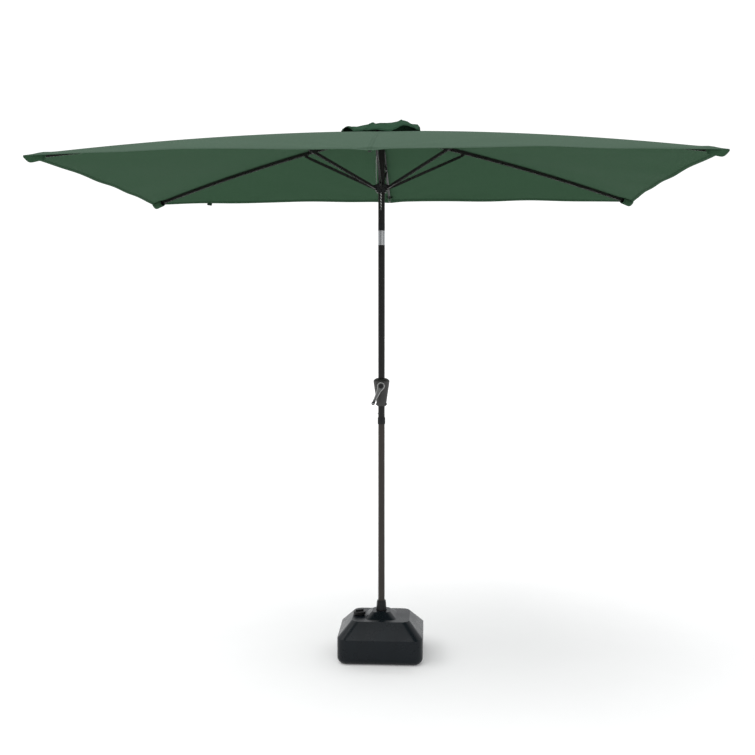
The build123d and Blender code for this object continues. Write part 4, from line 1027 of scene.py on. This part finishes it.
def vent_pieces():
    na, nb = 97, 69
    # rows close to the hem give it a folded edge
    A = np.linspace(-1, 1, na)
    B = np.linspace(-1, 1, nb)
    A = np.concatenate([[-1, -0.992, -0.985, -0.975], np.linspace(-0.960, 0.960, na - 8), [0.975, 0.985, 0.992, 1]])
    B = np.concatenate([[-1, -0.978], np.linspace(-0.925, 0.925, nb - 4), [0.978, 1]])
    GA, GB = np.meshgrid(A, B)
    X, Y, Z = cap_surface(GA, GB)
    hem = (np.abs(GA) > 0.94) | (np.abs(GB) > 0.92)
    thick = np.where(hem, 0.0026, 0.0010)
    # painted shade along the hem folds
    seam_shade = np.where((np.abs(np.abs(GA) - 0.960) < 0.004) | (np.abs(np.abs(GB) - 0.925) < 0.004), 0.6, 0.0)
    top = np.stack([X, Y, Z], -1)
    bot = np.stack([X, Y, Z - thick], -1)
    rows, cols = X.shape
    az = {n: degrees(atan2(TIP[n][1], TIP[n][0])) % 360 for n in ORDER}
    mids = {}
    for k, n in enumerate(ORDER):
        m = ORDER[(k + 1) % 6]
        mx, my = (TIP[n][0] + TIP[m][0]) / 2, (TIP[n][1] + TIP[m][1]) / 2
        mids[(n, m)] = degrees(atan2(my, mx)) % 360

    def sector(x, y):
        a = degrees(atan2(y, x)) % 360
        for k, n in enumerate(ORDER):
            m = ORDER[(k + 1) % 6]
            span = (az[m] - az[n]) % 360
            off = (a - az[n]) % 360
            if off < span:
                half = (mids[(n, m)] - az[n]) % 360
                return (n, m) if off < half else (m, n)
        return (ORDER[0], ORDER[1])

    groups = {}
    for i in range(rows - 1):
        for j in range(cols - 1):
            cx, cy = X[i:i + 2, j:j + 2].mean(), Y[i:i + 2, j:j + 2].mean()
            # the middle is sewn round the crown and stays on it; the rest folds with the ribs
            key = ("crown", "crown") if (cx / 0.058) ** 2 + (cy / 0.050) ** 2 < 1 else sector(cx, cy)
            groups.setdefault(key, []).append((i, j))
    for key, cells in groups.items():
        name, nb2 = key
        used, verts, faces, sm, un, walls = {}, [], [], [], [], []

        def vid(i, j, low):
            k2 = (i, j, low)
            if k2 not in used:
                used[k2] = len(verts)
                verts.append((bot if low else top)[i, j])
                sm.append(float(seam_shade[i, j]))
                un.append(1.0 if low else 0.0)
            return used[k2]
        inside = set(cells)
        area = 0.0
        for (i, j) in cells:
            q = [(i, j), (i, j + 1), (i + 1, j + 1), (i + 1, j)]
            faces.append(tuple(vid(a, b, False) for a, b in q))
            faces.append(tuple(vid(a, b, True) for a, b in reversed(q)))
            d1, d2 = top[i + 1, j + 1] - top[i, j], top[i + 1, j] - top[i, j + 1]
            area += float(np.linalg.norm(np.cross(d1, d2)) / 2)
            for (di, dj, e) in ((-1, 0, (0, 1)), (0, 1, (1, 2)), (1, 0, (2, 3)), (0, -1, (3, 0))):
                if (i + di, j + dj) not in inside:
                    p, r = q[e[0]], q[e[1]]
                    walls.append((vid(*p, False), vid(*p, True), vid(*r, True), vid(*r, False)))
        faces += walls
        centre = name == "crown"
        # the bottom faces are marked 'under' and take the cap's painted-shade colour
        ob = mesh("vent_cap_centre" if centre else f"vent_cap_{name}_to_{nb2}", verts, faces, M["cap_fabric"],
                  floats={"seam_shade": sm, "under": un}, walls=walls)
        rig.ride(ob, "head" if centre else "rib_" + name)
        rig.replaces(ob, "vent_cap")
        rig.slot(ob, "canopy_fabric")
        V = np.array(verts)
        ext = V.max(0) - V.min(0)
        w, l = max(0.012, float(ext[0])), max(0.012, float(ext[1]))
        w, l = w * 1.02, max(l * 1.02, area / w * 1.0)
        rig.sheet(ob, flat=(round(w, 4), round(l, 4)), held="draped", rests_on=["crown_cap"],
                 area=round(max(min(area, w * l), 0.31 * w * l), 5))
        if centre:
            continue
        t = Vector((TIP[name][0], TIP[name][1], 0)).normalized()
        c = Vector(V.mean(0))
        c.z = 0
        n = (c - t * c.dot(t)).normalized()
        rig.squash(ob, "runner_slide", axis=tuple(n), anchor=(0, 0, 2.78 + LIFT), keep=0.22)


vent_pieces()

# ---------------------------------------------------------------------------
# Tie strap under the back hem
# ---------------------------------------------------------------------------
def strap():
    rows, cols = 22, 9
    P = []
    for i in range(rows):
        t = i / (rows - 1)
        for j in range(cols):
            s = j / (cols - 1) - 0.5
            z = LIFT + 2.5106 - (0.0150 + 0.0060 * s) * t
            x = -1.133 + s * (0.032 - 0.004 * t) + 0.0012 * sin(5 * t)
            y = 0.9732 + 0.0012 * sin(3.3 * t) + 0.0005 * cos(6 * s)
            P.append((x, y, z + 0.0006 * sin(7 * s)))
    faces = [(i * cols + j, (i + 1) * cols + j, (i + 1) * cols + j + 1, i * cols + j + 1)
             for i in range(rows - 1) for j in range(cols - 1)]
    ob = mesh("tie_strap_tab", P, faces, M["tape"])
    so = ob.modifiers.new("cloth", "SOLIDIFY")
    so.thickness = 0.0013
    so.offset = 0
    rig.ride(ob, "rib_back_left")
    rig.replaces(ob, "tie_strap")
    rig.slot(ob, "tape")
    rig.sheet(ob, flat=(0.032, 0.018), held="hung", rests_on=["rib_back_left"])
    g = gores[("back_left", "back_mid")]
    sq = dict(g["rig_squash"])
    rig.squash(ob, "runner_slide", axis=tuple(sq["axis"]), anchor=tuple(sq["anchor"]), keep=sq["keep"])


strap()

# ---------------------------------------------------------------------------
# Floor
# ---------------------------------------------------------------------------
floor_mat = Mat("floor", (0.80, 0.80, 0.80, 1), rough=0.9, Specular_IOR_Level=0.1, Emission_Color=(1, 1, 1, 1),
                Emission_Strength=0.13)
floor_mat.set("Base Color", floor_mat.tint(floor_mat.noise(3.0, 2.0), 0.995, 1.005))
floor = mesh("floor", [(-60, -60, -0.0004), (60, -60, -0.0004), (60, 60, -0.0004), (-60, 60, -0.0004)],
             [(0, 1, 2, 3)], floor_mat.m, smooth=False)
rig.stage(floor)

with open("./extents.json", "w") as out:
    out.write(json.dumps({"cad_box": CAD_BOX, "visual_box": [[float(c) for c in corner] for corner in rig.bounds()]}))
